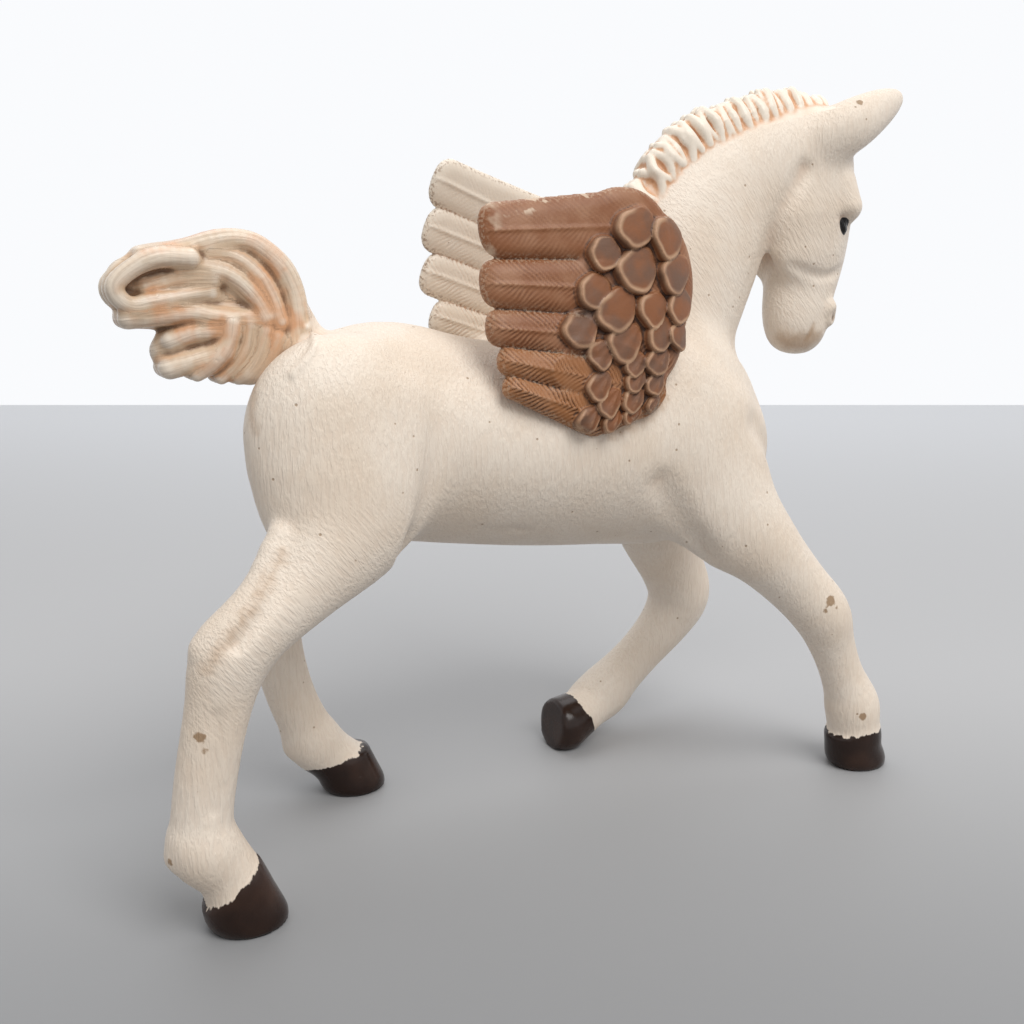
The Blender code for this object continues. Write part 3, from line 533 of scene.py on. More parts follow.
@dataclass(frozen=True)
class Head:
    """Skull, cheeks, brows, eyes, muzzle, chin and ears."""

    skull: Stations = (
        (37.7, 0, 80.2, 6.2, 0.74), (38.0, 0, 74.5, 6.4, 0.70), (38.4, 0, 68.5, 5.5, 0.64),
        (37.5, 0, 63.0, 4.7, 0.70), (37.2, 0, 59.6, 4.3, 0.76),
    )
    lips: Stations = ((38.1, 0, 58.5, 2.9, 1.0), (35.9, 0, 58.2, 2.2, 1.0))
    cheek: Lump = Lump(((35.6, 2.6, 73.0, 5.9, 0.42), (35.9, 2.6, 69.6, 5.2, 0.42)), 0.9)
    brow: Lump = Lump(((40.9, 3.3, 76.4, 1.6, 1.0), (41.5, 3.8, 73.9, 1.8, 1.0)), 1.4)
    nostril_wing: Lump = Lump(((40.3, 2.5, 61.2, 1.2, 1.0), (40.7, 2.3, 60.0, 1.1, 1.0)), 0.8)
    throat_groove: Crease = Crease(((33.4, 4.9, 78.0), (30.6, 4.8, 73.0), (29.4, 3.8, 67.5)), 1.0, 0.9)
    jaw_crease: Crease = Crease(((33.0, 4.2, 66.3), (38.0, 4.0, 65.2), (42.5, 3.0, 66.0)), 0.6, 0.5)
    eye_socket: Crease = Crease(((40.3, 4.9, 72.3), (41.2, 4.8, 71.2)), 0.8, 0.8)
    eyeball: Lump = Lump(((40.5, 3.7, 72.0, 0.75, 0.8), (41.0, 3.6, 71.1, 0.7, 0.8)), 0.15)
    upper_lid: Crease = Crease(((39.5, 4.7, 72.0), (40.2, 4.9, 73.1), (41.4, 4.3, 72.9)), 0.32, -0.22)
    pupil: Stations = ((40.4, 4.3, 72.1, 0.30), (40.9, 4.2, 71.5, 0.52), (41.3, 3.9, 70.8, 0.28))
    nostril: Crease = Crease(((40.9, 3.6, 60.4), (41.1, 3.1, 59.9)), 0.5, 0.8)
    mouth: Crease = Crease(((37.4, 4.0, 59.8), (37.2, 3.6, 58.4), (36.6, 2.8, 56.6)), 0.3, 0.5)
    chin_stain: Stations = ((33.9, 1.5, 57.6, 0.6), (36.0, 2.2, 56.9, 1.1), (38.4, 2.9, 57.6, 0.7))
    ear_root: tuple[float, float] = (37.6, 82.0)
    ear_length: float = 11.15
    ear_slope: float = 27.3
    ear_spread: float = 4.6
    ear_shares: Stations = ((0.0, 0.8, 3.0), (0.31, 1.0, 2.9), (0.69, 1.0, 2.2), (1.0, 1.0, 1.1))
    far_ear_drop: float = 1.3
    ear_flatness: float = 0.78
    skull_blend: float = 1.8
    lip_blend: float = 0.9
    ear_blend: float = 1.2

    def ear(self, side: int) -> Stations:
        """Gives one ear's stations.

        Args:
            side: Sign of Y.

        Returns:
            Its stations, on that side.
        """
        slope = math.radians(self.ear_slope)
        stations = []
        for share, spread, radius in self.ear_shares:
            x = self.ear_root[0] + share * self.ear_length * math.cos(slope)
            z = self.ear_root[1] + share * self.ear_length * math.sin(slope)
            z -= self.far_ear_drop if side > 0 else 0.0
            stations.append((x, side * self.ear_spread * spread, z, radius, self.ear_flatness))
        return stations

    def carve(self, clay: Clay) -> None:
        """Adds the head to the clay and presses its creases."""
        clay.add(self.skull, blend=self.skull_blend)
        clay.add(self.lips, blend=self.lip_blend)
        for side in SIDES:
            for form in (self.cheek, self.brow, self.nostril_wing):
                form.shape(clay, side)
            clay.add(self.ear(side), blend=self.ear_blend)
            for form in (self.throat_groove, self.jaw_crease, self.eye_socket, self.eyeball):
                form.shape(clay, side)
            for form in (self.upper_lid, self.nostril, self.mouth):
                form.shape(clay, side)

    def marks(self, spots: np.ndarray) -> Marks:
        """Measures where the eye, the nostril, the lips and the chin are painted.

        Args:
            spots: Vertices.

        Returns:
            Distances to each of them.
        """
        folded = spots.copy()
        folded[:, 1] = np.abs(folded[:, 1])
        return {
            "eye": chain_distance(folded, self.pupil),
            "chin": chain_distance(folded, self.chin_stain),
            "nostril": chain_distance(folded, self.nostril.path),
            "mouth": chain_distance(folded, self.mouth.path),
        }


@dataclass(frozen=True)
class Legs:
    """Two standing hind legs, a reaching foreleg and a folded one."""

    near_hind: Stations = (
        (-27.5, -6.4, 50.0, 9.6, 0.60), (-27.4, -7.6, 44.3, 8.9, 0.62), (-28.8, -9.4, 40.0, 6.0, 0.68),
        (-33.6, -11.0, 35.5, 3.9, 0.80), (-38.4, -12.0, 32.2, 3.4, 0.85),
        (-41.0, -12.0, 29.4, 3.5, 0.85), (-42.2, -12.0, 25.5, 3.0, 0.85),
        (-43.8, -12.0, 18.5, 2.8, 0.85), (-44.6, -12.0, 13.0, 2.8, 0.90),
        (-44.4, -12.0, 10.8, 3.3, 0.95), (-42.4, -12.0, 7.9, 2.8, 0.95), (-41.3, -12.0, 5.2, 3.1, 1.0),
    )
    far_hind: Stations = (
        (-21.0, 6.4, 50.0, 8.6, 0.62), (-21.2, 7.6, 44.5, 7.3, 0.64), (-23.4, 9.4, 39.4, 5.3, 0.70),
        (-26.6, 11.2, 34.2, 4.0, 0.80), (-29.2, 12.0, 29.6, 3.3, 0.85), (-30.4, 12.0, 25.5, 3.0, 0.85),
        (-30.0, 12.0, 21.0, 2.8, 0.85), (-28.7, 12.0, 15.5, 2.7, 0.85), (-27.0, 12.0, 11.0, 2.8, 0.90),
        (-26.0, 12.0, 8.8, 3.2, 0.95), (-24.0, 12.0, 6.6, 2.9, 0.95), (-22.1, 12.0, 4.6, 3.2, 1.0),
    )
    near_fore: Stations = (
        (14.5, -5.4, 50.0, 9.0, 0.62), (17.4, -7.4, 43.8, 8.2, 0.60), (19.8, -8.8, 38.0, 6.8, 0.66),
        (24.4, -10.4, 33.0, 4.7, 0.80), (29.6, -11.4, 27.6, 3.7, 0.85), (33.4, -12.0, 23.4, 3.5, 0.90),
        (35.4, -12.0, 19.4, 2.8, 0.85), (37.6, -12.0, 14.6, 2.6, 0.85), (38.9, -12.0, 12.0, 2.9, 0.90),
        (39.8, -12.0, 9.8, 3.3, 0.95), (40.2, -12.0, 7.2, 3.1, 0.95), (40.6, -12.0, 5.4, 3.3, 1.0),
    )
    far_fore: Stations = (
        (14.5, 5.4, 50.0, 9.0, 0.62), (17.8, 7.4, 43.5, 8.2, 0.60), (21.0, 8.8, 37.5, 6.9, 0.66),
        (23.5, 10.2, 31.0, 5.3, 0.80), (26.9, 11.2, 25.0, 4.4, 0.85), (28.6, 11.7, 20.6, 4.2, 0.90),
        (26.5, 12.0, 16.6, 3.5, 0.85), (22.4, 12.0, 12.8, 3.0, 0.85), (18.4, 12.0, 9.6, 3.1, 0.90),
        (16.2, 12.0, 7.8, 3.4, 0.95), (13.4, 12.0, 6.2, 3.1, 1.0),
    )
    tendons: Sequence[Stations] = (
        (
            (-43.1, -12.0, 30.9, 1.5, 1.0), (-38.8, -12.0, 35.2, 1.2, 1.0),
            (-35.2, -10.5, 40.5, 1.3, 1.0),
        ),
        (
            (-31.2, 12.0, 30.0, 1.5, 1.0), (-29.4, 12.0, 34.0, 1.2, 1.0), (-27.4, 10.5, 38.6, 1.3, 1.0),
        ),
    )
    fetlock_tufts: Sequence[Stations] = (
        ((-46.0, -12.0, 11.6, 1.9, 1.0), (-47.0, -12.0, 10.5, 1.1, 1.0)),
        ((-28.0, 12.0, 10.0, 1.8, 1.0), (-28.5, 12.0, 8.6, 1.2, 1.0)),
        ((37.8, -12.0, 10.2, 1.6, 1.0), (38.2, -12.0, 8.4, 1.3, 1.0)),
    )
    flank_fold: Crease = Crease(
        ((-17.6, 10.4, 57.0), (-18.4, 11.6, 50.0), (-20.3, 11.4, 41.0), (-22.8, 9.6, 38.0)), 1.25, 1.1
    )
    far_fold_shift: float = 2.5
    elbow: Crease = Crease(((8.5, 11.8, 42.0), (12.5, 11.0, 36.4), (17.0, 9.8, 33.4)), 1.6, 0.8)
    arm: Crease = Crease(((22.5, 11.4, 48.0), (26.6, 9.8, 43.5), (27.8, 9.6, 39.0)), 1.6, 0.7)
    tendon_groove: Crease = Crease(
        ((-35.0, 14.2, 39.0), (-38.0, 14.8, 35.0), (-41.0, 14.8, 31.8)), 0.7, 0.8
    )
    cannon_groove: Crease = Crease(
        ((-43.0, 14.6, 25.0), (-43.6, 14.5, 20.0), (-44.0, 14.5, 15.5)), 0.6, 0.3
    )
    blend: float = 2.4

    def carve(self, clay: Clay) -> None:
        """Adds the legs to the clay and presses the folds round them."""
        for leg in (self.near_hind, self.far_hind, self.near_fore, self.far_fore):
            clay.add(leg, blend=self.blend)
        for form in (*self.tendons, *self.fetlock_tufts):
            clay.add(form)
        fold = self.flank_fold
        for side in SIDES:
            shift = self.far_fold_shift if side > 0 else 0.0
            shifted = [(x + shift, y, z) for x, y, z in fold.path]
            Crease(shifted, fold.width, fold.depth).shape(clay, side)
            self.elbow.shape(clay, side)
            self.arm.shape(clay, side)
        self.tendon_groove.shape(clay, Side.NEAR.value)
        self.cannon_groove.shape(clay, Side.NEAR.value)


@dataclass(frozen=True)
class Hooves:
    """Three hooves flat on the ground, and the folded leg's hoof with its sole turned back."""

    standing: Stations = ((-40.4, -12.0, 0.62), (-20.9, 12.0, 0.2), (41.2, -12.0, 0.1))
    length_half: float = 4.3
    width_half: float = 3.8
    height: float = 5.0
    lean: float = 0.30
    taper: float = 0.035
    sole_rounding: float = 0.12
    sole_round_height: float = 1.5
    blend: float = 0.35
    folded_toe: Stations = ((13.4, 11.2, 6.3, 2.9, 1.05), (9.0, 10.7, 4.9, 3.8, 1.0))
    sole_x: float = 6.8
    sole_slope: float = 0.12
    folded_coronet: tuple[float, float] = (10.9, 6.9)
    folded_axis: tuple[float, float] = (0.88, 0.47)
    folded_y: float = 10.8
    folded_half_width: float = 5.5
    folded_top: float = 12.0
    folded_rear: float = 3.0
    paint_reach: float = 1.5
    sole_block: Block = ((2, 6, -3), (16, 18, 14))

    def block(self, points: Axes, x: float, y: float, slope: float, grow: float = 0.0) -> np.ndarray:
        """Measures the distance to one standing hoof, a leaning oval under a sloping coronet.

        Args:
            points: X, Y and Z arrays that broadcast together.
            x: Middle of the sole.
            y: Middle of the sole.
            slope: Rise of the coronet towards the toe.
            grow: How much wider the oval is taken.

        Returns:
            Distances, negative inside.
        """
        up = points[2] - CARVING_GROUND
        ahead = points[0] - x + self.lean * up
        flare = 1.0 - self.taper * up
        flare = flare - self.sole_rounding * unit(1.0 - up / self.sole_round_height) ** 2
        long_share = ahead / (self.length_half * flare)
        wide_share = (points[1] - y) / (self.width_half * flare)
        oval = (np.sqrt(long_share**2 + wide_share**2) - 1.0) * self.width_half - grow
        return np.maximum(oval, up - self.height - slope * ahead)

    def carve(self, clay: Clay) -> None:
        """Adds the hooves to the clay and trims the folded one to its sole."""
        for x, y, slope in self.standing:
            low = (x - 2 * self.length_half, y - 2 * self.width_half, CARVING_GROUND - 2)
            high = (x + 2 * self.length_half, y + 2 * self.width_half, CARVING_GROUND + 2 * self.height)
            cut, points = clay.window(low, high)
            clay.field[cut] = smooth_min(clay.field[cut], self.block(points, x, y, slope), self.blend)
        clay.add(self.folded_toe, blend=self.blend)
        cut, (x, _, z) = clay.window(*self.sole_block)
        sole = self.sole_x - x + self.sole_slope * (z - CARVING_GROUND)
        clay.field[cut] = np.maximum(clay.field[cut], sole)

    def marks(self, spots: np.ndarray) -> Marks:
        """Measures how far each vertex is above the painted coronets.

        Args:
            spots: Vertices.

        Returns:
            Millimetres above the nearest coronet, negative on the hoof.
        """
        points = (spots[:, 0], spots[:, 1], spots[:, 2])
        lowest = np.full(len(spots), FAR_AWAY)
        for x, y, slope in self.standing:
            lowest = np.minimum(lowest, self.block(points, x, y, slope, grow=self.paint_reach))
        ahead = (spots[:, 0] - self.folded_coronet[0]) * self.folded_axis[0]
        ahead += (spots[:, 2] - self.folded_coronet[1]) * self.folded_axis[1]
        beside = np.abs(spots[:, 1] - self.folded_y) - self.folded_half_width
        beyond = np.maximum(spots[:, 2] - self.folded_top, self.folded_rear - spots[:, 0])
        folded = np.maximum(np.maximum(ahead, beside), beyond)
        return {"hoof": np.minimum(lowest, folded)}


@dataclass(frozen=True)
class Mane:
    """A short upright mane along the crest, with narrow flutes on both sides."""

    tufts: int = 20
    flutes: int = 33
    half_width: float = 2.25
    middle_half_width: float = 1.65
    tip_half_width: float = 0.5
    core_radii: tuple[float, float] = (2.3, 0.9)
    core_flatness: float = 1.2
    core_blend: float = 0.8
    flute_size: float = 0.62
    flute_variation: float = 0.17
    flute_blend: float = 0.2
    flute_joint: float = 0.06
    jaggedness: float = 0.12
    low: Stations = ((12.6, 72.6), (16.2, 77.4), (20.6, 80.6), (26.5, 81.9), (32.5, 83.4), (38.6, 85.0))
    high: Stations = ((10.9, 75.2), (14.6, 80.6), (18.9, 83.9), (25.4, 86.2), (31.9, 88.0), (39.4, 87.4))

    def tuft(self, number: float) -> tuple[np.ndarray, np.ndarray]:
        """Finds the foot and the jagged tip of the crest.

        Args:
            number: Place along the crest, counted in tufts.

        Returns:
            The foot and the tip, each as x and z.
        """
        ends = []
        for line in (smooth_stations(self.low), smooth_stations(self.high)):
            spot = min(max(number / (self.tufts - 1), 0.0), 1.0) * (len(line) - 1)
            first = min(int(spot), len(line) - 2)
            ends.append(line[first] + (line[first + 1] - line[first]) * (spot - first))
        foot, head = ends
        jag = 0.45 * math.sin(2.4 * number) + 0.35 * math.sin(5.1 * number + 1.0)
        return foot, head + (head - foot) * self.jaggedness * jag

    def locks(self, side: int) -> list[Stations]:
        """Works out the flutes of one side: thick and thin ones, leaning a little either way.

        Args:
            side: Sign of Y.

        Returns:
            The stations of each flute.
        """
        locks: list[Stations] = []
        for k in range(self.flutes):
            number = (k + 0.5 + 0.22 * math.sin(3.7 * k)) * (self.tufts - 1) / self.flutes
            foot, tip = self.tuft(number)
            unruly = max(0.0, 1.0 - 1.6 * number / (self.tufts - 1))
            drift = (foot - tip)[::-1] * (0.10 + 0.25 * unruly) * math.sin(1.9 * k + 0.4)
            middle = (foot + tip) / 2 + drift * np.array([1.0, -1.0])
            size = self.flute_size + self.flute_variation * math.sin(2.9 * k + 1.0)
            foot = foot + (foot - tip) * (0.05 + 0.10 * math.sin(4.3 * k))
            locks.append(
                [
                    (foot[0], side * (self.half_width - 0.15), foot[1], size * 0.75, 1.0),
                    (middle[0], side * self.middle_half_width, middle[1], size, 1.0),
                    (tip[0], side * self.tip_half_width, tip[1] - 0.5, size * 0.85, 1.0),
                ]
            )
        return locks

    def carve(self, clay: Clay) -> None:
        """Adds the mane to the clay."""
        for number in range(self.tufts):
            foot, tip = self.tuft(number)
            root = foot - (tip - foot) * 0.6
            wide, narrow = self.core_radii
            core = [
                (root[0], 0, root[1], wide, self.core_flatness),
                (tip[0], 0, tip[1] - 1.3, narrow, self.core_flatness),
            ]
            clay.add(core, blend=self.core_blend)
        for side in SIDES:
            for lock in self.locks(side):
                clay.add(lock, blend=self.flute_blend, joint=self.flute_joint)

    def marks(self, spots: np.ndarray) -> Marks:
        """Measures how far each vertex is from the mane.

        Args:
            spots: Vertices.

        Returns:
            Millimetres outside the mane, negative on it.
        """
        nearest = np.full(len(spots), FAR_AWAY)
        folded = spots.copy()
        folded[:, 1] = np.abs(folded[:, 1])
        for lock in self.locks(1):
            nearest = np.minimum(nearest, chain_distance(folded, lock, self.flute_joint))
        crest = np.array([self.tuft(number)[0] for number in range(self.tufts)])
        rise = spots[:, 2] - np.interp(spots[:, 0], crest[:, 0], crest[:, 1])
        inside = (spots[:, 0] > crest[0, 0]) & (spots[:, 0] < crest[-1, 0] - 1.0)
        return {"mane": np.where(inside & (rise > 0.6), np.minimum(nearest, 0.0), nearest)}


@dataclass(frozen=True)
class Tail:
    """A tail flipped up like a flag: a core with locks that curl over it on both sides."""

    half_thickness: float = 1.7
    thinning: float = 0.35
    core_blend: float = 1.5
    lock_blend: float = 0.75
    lock_joint: float = 0.06
    seam_width: float = 0.42
    seam_rise: float = 0.32
    core: Sequence[Stations] = (
        ((-29.0, 0, 56.0, 3.2, 1.0), (-31.2, 0, 62.0, 2.3, 0.7), (-35.6, 0, 66.8, 1.9, 0.7)),
        (
            (-30.4, 0, 56.6, 3.0, 0.8), (-35.4, 0, 61.2, 2.9, 0.65), (-41.0, 0, 62.6, 2.3, 0.7),
            (-46.0, 0, 62.0, 1.3, 0.9),
        ),
        ((-33.6, 0, 64.5, 2.5, 0.65), (-40.0, 0, 66.2, 2.0, 0.8), (-46.2, 0, 65.2, 1.6, 0.8)),
        ((-33.4, 0, 58.6, 2.7, 0.7), (-38.0, 0, 58.6, 2.5, 0.65), (-43.0, 0, 58.0, 1.5, 0.9)),
    )
    # Each lock: how far it stands off the core, then its (x, z, radius) stations
    locks: Sequence[tuple[float, Stations]] = (
        (
            0.0,
            (
                (-30.2, 58.6, 1.4), (-30.3, 62.8, 1.3), (-31.2, 65.5, 1.3), (-32.7, 67.3, 1.2),
                (-34.6, 68.5, 1.1), (-37.4, 68.6, 1.1), (-41.0, 67.7, 0.9), (-44.8, 67.2, 0.8),
            ),
        ),
        (
            0.9,
            (
                (-32.1, 60.8, 0.9), (-32.9, 63.4, 0.9), (-34.2, 65.5, 0.9), (-36.1, 67.0, 0.8),
                (-38.4, 67.4, 0.7),
            ),
        ),
        (
            1.1,
            (
                (-33.4, 61.3, 0.9), (-34.6, 63.4, 0.9), (-36.6, 65.2, 0.9), (-39.0, 66.0, 0.8),
                (-41.4, 65.9, 0.7),
            ),
        ),
        (
            1.4,
            (
                (-40.6, 66.9, 0.9), (-43.6, 66.9, 1.0), (-45.8, 66.0, 0.9), (-47.5, 64.5, 0.9),
                (-47.3, 63.2, 0.9), (-46.0, 62.5, 0.8), (-43.6, 62.9, 0.9), (-38.8, 63.7, 0.8),
            ),
        ),
        (0.2, ((-38.4, 65.0, 0.8), (-41.4, 64.9, 0.8), (-44.4, 64.2, 0.6))),
        (0.9, ((-34.2, 61.0, 0.8), (-38.3, 61.3, 0.9), (-41.0, 61.7, 1.0), (-46.5, 61.2, 1.0))),
        (0.6, ((-36.6, 59.9, 0.8), (-40.2, 59.8, 1.0), (-42.6, 59.0, 0.9))),
        (0.7, ((-37.6, 57.9, 0.9), (-40.3, 57.1, 1.1), (-42.9, 56.4, 1.1))),
        (1.6, ((-36.9, 60.6, 0.7), (-37.3, 58.8, 0.9), (-38.6, 57.0, 0.9), (-40.4, 55.7, 0.7))),
        (0.9, ((-35.1, 60.2, 0.8), (-35.5, 58.3, 0.9), (-36.6, 56.6, 0.9), (-38.0, 55.3, 0.7))),
        (1.1, ((-33.6, 59.8, 0.8), (-34.2, 57.6, 0.8), (-35.4, 55.9, 0.9), (-36.3, 55.2, 0.7))),
        (0.9, ((-32.4, 59.2, 0.8), (-33.1, 57.3, 0.8), (-34.4, 55.6, 0.8), (-35.1, 55.2, 0.7))),
        (0.5, ((-31.3, 58.6, 0.9), (-32.1, 57.0, 0.8), (-33.2, 55.8, 0.8))),
    )
    root: tuple[float, float] = (-31.7, 57.5)
    root_axis: tuple[float, float] = (-0.735, 0.678)
    root_half_width: float = 5.0
    seam: Stations = ((-29.2, 60.3), (-30.2, 58.9), (-31.5, 57.5), (-33.0, 56.0))

    def placed(self, rise: float, stations: Stations, side: int) -> Stations:
        """Puts one lock on a side of the core.

        Args:
            rise: How far it stands off the core.
            stations: Its (x, z, radius) stations.
            side: Sign of Y, or 0 for the middle.

        Returns:
            Stations of five numbers.
        """
        lock = []
        for number, (x, z, radius) in enumerate(stations):
            depth = self.half_thickness * (1 - self.thinning * number / (len(stations) - 1)) + 0.5 * rise
            lock.append((x, side * depth, z, radius, 1.0))
        return lock

    def carve(self, clay: Clay) -> None:
        """Adds the tail to the clay, with the raised bead where it meets the croup."""
        for line in self.core:
            clay.add(line, blend=self.core_blend)
        for rise, stations in self.locks:
            for side in (-1, 0, 1):
                clay.add(self.placed(rise, stations, side), self.lock_blend, self.lock_joint)
        for side in SIDES:
            bead = [(x, clay.skin(x, z, side), z) for x, z in self.seam]
            clay.groove(bead, self.seam_width, -self.seam_rise)

    def marks(self, spots: np.ndarray) -> Marks:
        """Measures where the tail's paint starts, and the run of the hair along its locks.

        Args:
            spots: Vertices.

        Returns:
            Millimetres in front of the seam, negative on the tail, and for the nearest lock the
            place across it, the place along it and its number.
        """
        behind = (spots[:, 0] - self.root[0]) * self.root_axis[0]
        behind += (spots[:, 2] - self.root[1]) * self.root_axis[1]
        folded = spots.copy()
        folded[:, 1] = np.abs(folded[:, 1])
        best = np.full(len(spots), FAR_AWAY)
        across, along, lock = (np.zeros(len(spots)) for _ in range(3))
        for number, (rise, stations) in enumerate(self.locks):
            curve = smooth_stations(self.placed(rise, stations, 1))
            run = 0.0
            for start, end in zip(curve[:-1], curve[1:]):
                axis = end[:3] - start[:3]
                length = float(np.linalg.norm(axis))
                offset = folded - start[:3]
                share = unit(offset @ axis / length**2)
                gap = np.linalg.norm(offset - share[:, None] * axis, axis=1) - start[3]
                nearer = gap < best
                best = np.where(nearer, gap, best)
                aside = (offset[:, 0] * axis[2] - offset[:, 2] * axis[0]) / length
                across = np.where(nearer, aside, across)
                along = np.where(nearer, run + share * length, along)
                lock = np.where(nearer, number, lock)
                run += length
        return {
            "tail": np.maximum(-behind, np.abs(spots[:, 1]) - self.root_half_width),
            "across": across,
            "along": along,
            "lock": lock,
        }


@dataclass(frozen=True)
class Region:
    """A part of the body's surface, meshed at its own fineness."""

    name: str
    step: float
    low: tuple[float, float, float]
    high: tuple[float, float, float]
    keep_low: tuple[float, float, float]
    keep_high: tuple[float, float, float]

    def holds(self, centres: np.ndarray, inset: float) -> np.ndarray:
        """Says which points lie in the box that this part keeps, drawn in by an inset."""
        low = np.array(self.keep_low) + inset
        high = np.array(self.keep_high) - inset
        return ((centres > low) & (centres < high)).all(1)


@dataclass(frozen=True)
class Wing:
    """A curved plate of long feathers and scale-like coverts, with a root tongue."""

    side: Side
    step: float = 0.165
    thickness: float = 2.1
    feather_dome: float = 0.75
    inner_dome: float = 0.4
    tip_squareness: float = 2.7
    scale_rise: float = 1.25
    scale_tilt: tuple[float, float] = (25.0, 1.0)
    scale_squareness: float = 2.3
    barb_pitch: float = 0.66
    barb_depth: float = 0.10
    shaft_rise: float = 0.16
    rim_rounding: float = 1.6
    seat_gap: float = 0.08
    seat_depth: float = 2.6
    root_blend: float = 1.8
    root_middle: tuple[float, float] = (1.2, 54.0)
    root_half: tuple[float, float] = (6.4, 3.2)
    root_slope: float = 0.25
    blocks: tuple[Block, Block] = (((-15, -16, 45), (16, -3, 76)), ((-14, 3, 45), (16, 16, 80)))
    scale_taper: float = 0.14
    scale_unevenness: tuple[float, float] = (0.040, 0.022)
    rim_end: float = 1.07
    rim_fall: float = 0.17
    barb_strength: tuple[float, float] = (0.22, 0.20)
    shaft_width: float = 0.22
    fan_count: float = 13.0
    fan_rise: float = 0.07
    lip_rise: float = 0.10
    lip_place: float = 0.86
    lip_width: float = 0.07
    fore_line: float = -6.0
    fore_reach: float = 8.0
    fine_rounds: int = 6
    broad_rounds: int = 40
    plate_out: float = 11.9
    plate_foot: float = 50.0
    plate_height: float = 25.0
    plate_lean: float = 3.4
    turn_line: float = 6.0
    rear_reach: float = 18.0
    rear_sweep: tuple[float, float] = (0.7, 1.6)
    front_reach: float = 8.0
    front_sweep: float = 1.6
    flank_out: float = 7.0
    tongue_out: float = 12.0
    shoulder: Stations = (
        (4.4, 68.1, 6.6), (5.6, 65.0, 8.2), (4.6, 59.8, 7.0), (3.0, 55.6, 5.7), (0.4, 52.5, 4.1),
    )
    near_primaries: Sequence[tuple[tuple[float, ...], tuple[float, ...]]] = (
        ((-9.3, 69.9, 3.0), (5.0, 70.5, 3.9)),
        ((-10.2, 64.4, 2.6), (5.0, 63.8, 3.5)),
        ((-10.6, 59.9, 2.0), (4.0, 58.7, 2.6)),
        ((-10.0, 56.5, 1.6), (2.0, 53.9, 2.7)),
        ((-9.9, 53.8, 1.3), (-1.0, 50.6, 2.3)),
    )
    far_primaries: Sequence[tuple[tuple[float, ...], tuple[float, ...]]] = (
        ((-8.9, 75.2, 2.9), (5.0, 70.6, 3.6)),
        ((-9.6, 70.2, 2.7), (5.0, 65.8, 3.4)),
        ((-9.6, 65.2, 2.6), (4.0, 61.0, 3.0)),
        ((-8.4, 60.2, 2.2), (3.0, 56.8, 2.6)),
        ((-7.6, 56.4, 1.7), (1.0, 52.8, 2.3)),
    )
    # Scales: middle (forward, upward), half length and half width
    scales: Stations = (
        (4.9, 70.4, 2.7, 2.1), (9.2, 69.4, 2.5, 2.3), (0.9, 67.6, 2.0, 1.8), (4.7, 65.9, 2.7, 2.4),
        (10.0, 65.5, 2.6, 2.0), (-0.7, 63.7, 2.1, 1.8), (1.8, 61.7, 2.8, 2.2), (6.4, 61.7, 2.1, 1.9),
        (10.4, 62.0, 2.2, 1.8), (-2.6, 59.8, 2.3, 1.9), (2.6, 58.3, 2.4, 2.0), (7.4, 59.1, 2.3, 1.7),
        (10.0, 58.8, 1.6, 1.7), (-0.5, 57.1, 1.6, 1.6), (3.7, 56.0, 1.6, 1.3), (6.8, 56.3, 2.0, 1.5),
        (-0.8, 53.8, 1.8, 1.4), (3.7, 54.3, 1.6, 1.2), (6.3, 53.8, 1.5, 1.2), (0.4, 52.0, 1.8, 1.4),
        (3.4, 52.2, 1.7, 1.3), (6.2, 51.5, 1.2, 1.0), (-2.1, 50.3, 1.7, 1.3), (0.8, 50.0, 1.5, 1.1),
        (3.4, 50.6, 1.5, 1.1),
    )

    @property
    def node(self) -> str:
        """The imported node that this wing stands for."""
        return "wing_right" if self.side is Side.NEAR else "wing_left"

    def to_plate(self, points: Axes) -> Axes:
        """Turns the horse's axes into the plate's own.

        Args:
            points: X, Y and Z.

        Returns:
            Forward, upward, and outward from the plate's curved middle.
        """
        forward, y, upward = points
        height = np.clip((upward - self.plate_foot) / self.plate_height, 0.0, 1.2)
        behind = np.clip((self.turn_line - forward) / self.rear_reach, 0.0, 1.2)
        ahead = unit((forward - self.turn_line) / self.front_reach)
        sweep = self.rear_sweep[0] + self.rear_sweep[1] * height
        middle = self.plate_out - self.plate_lean * height**1.5
        middle = middle - self.front_sweep * ahead**2 - behind**1.5 * sweep
        return forward, upward, self.side.value * y - middle

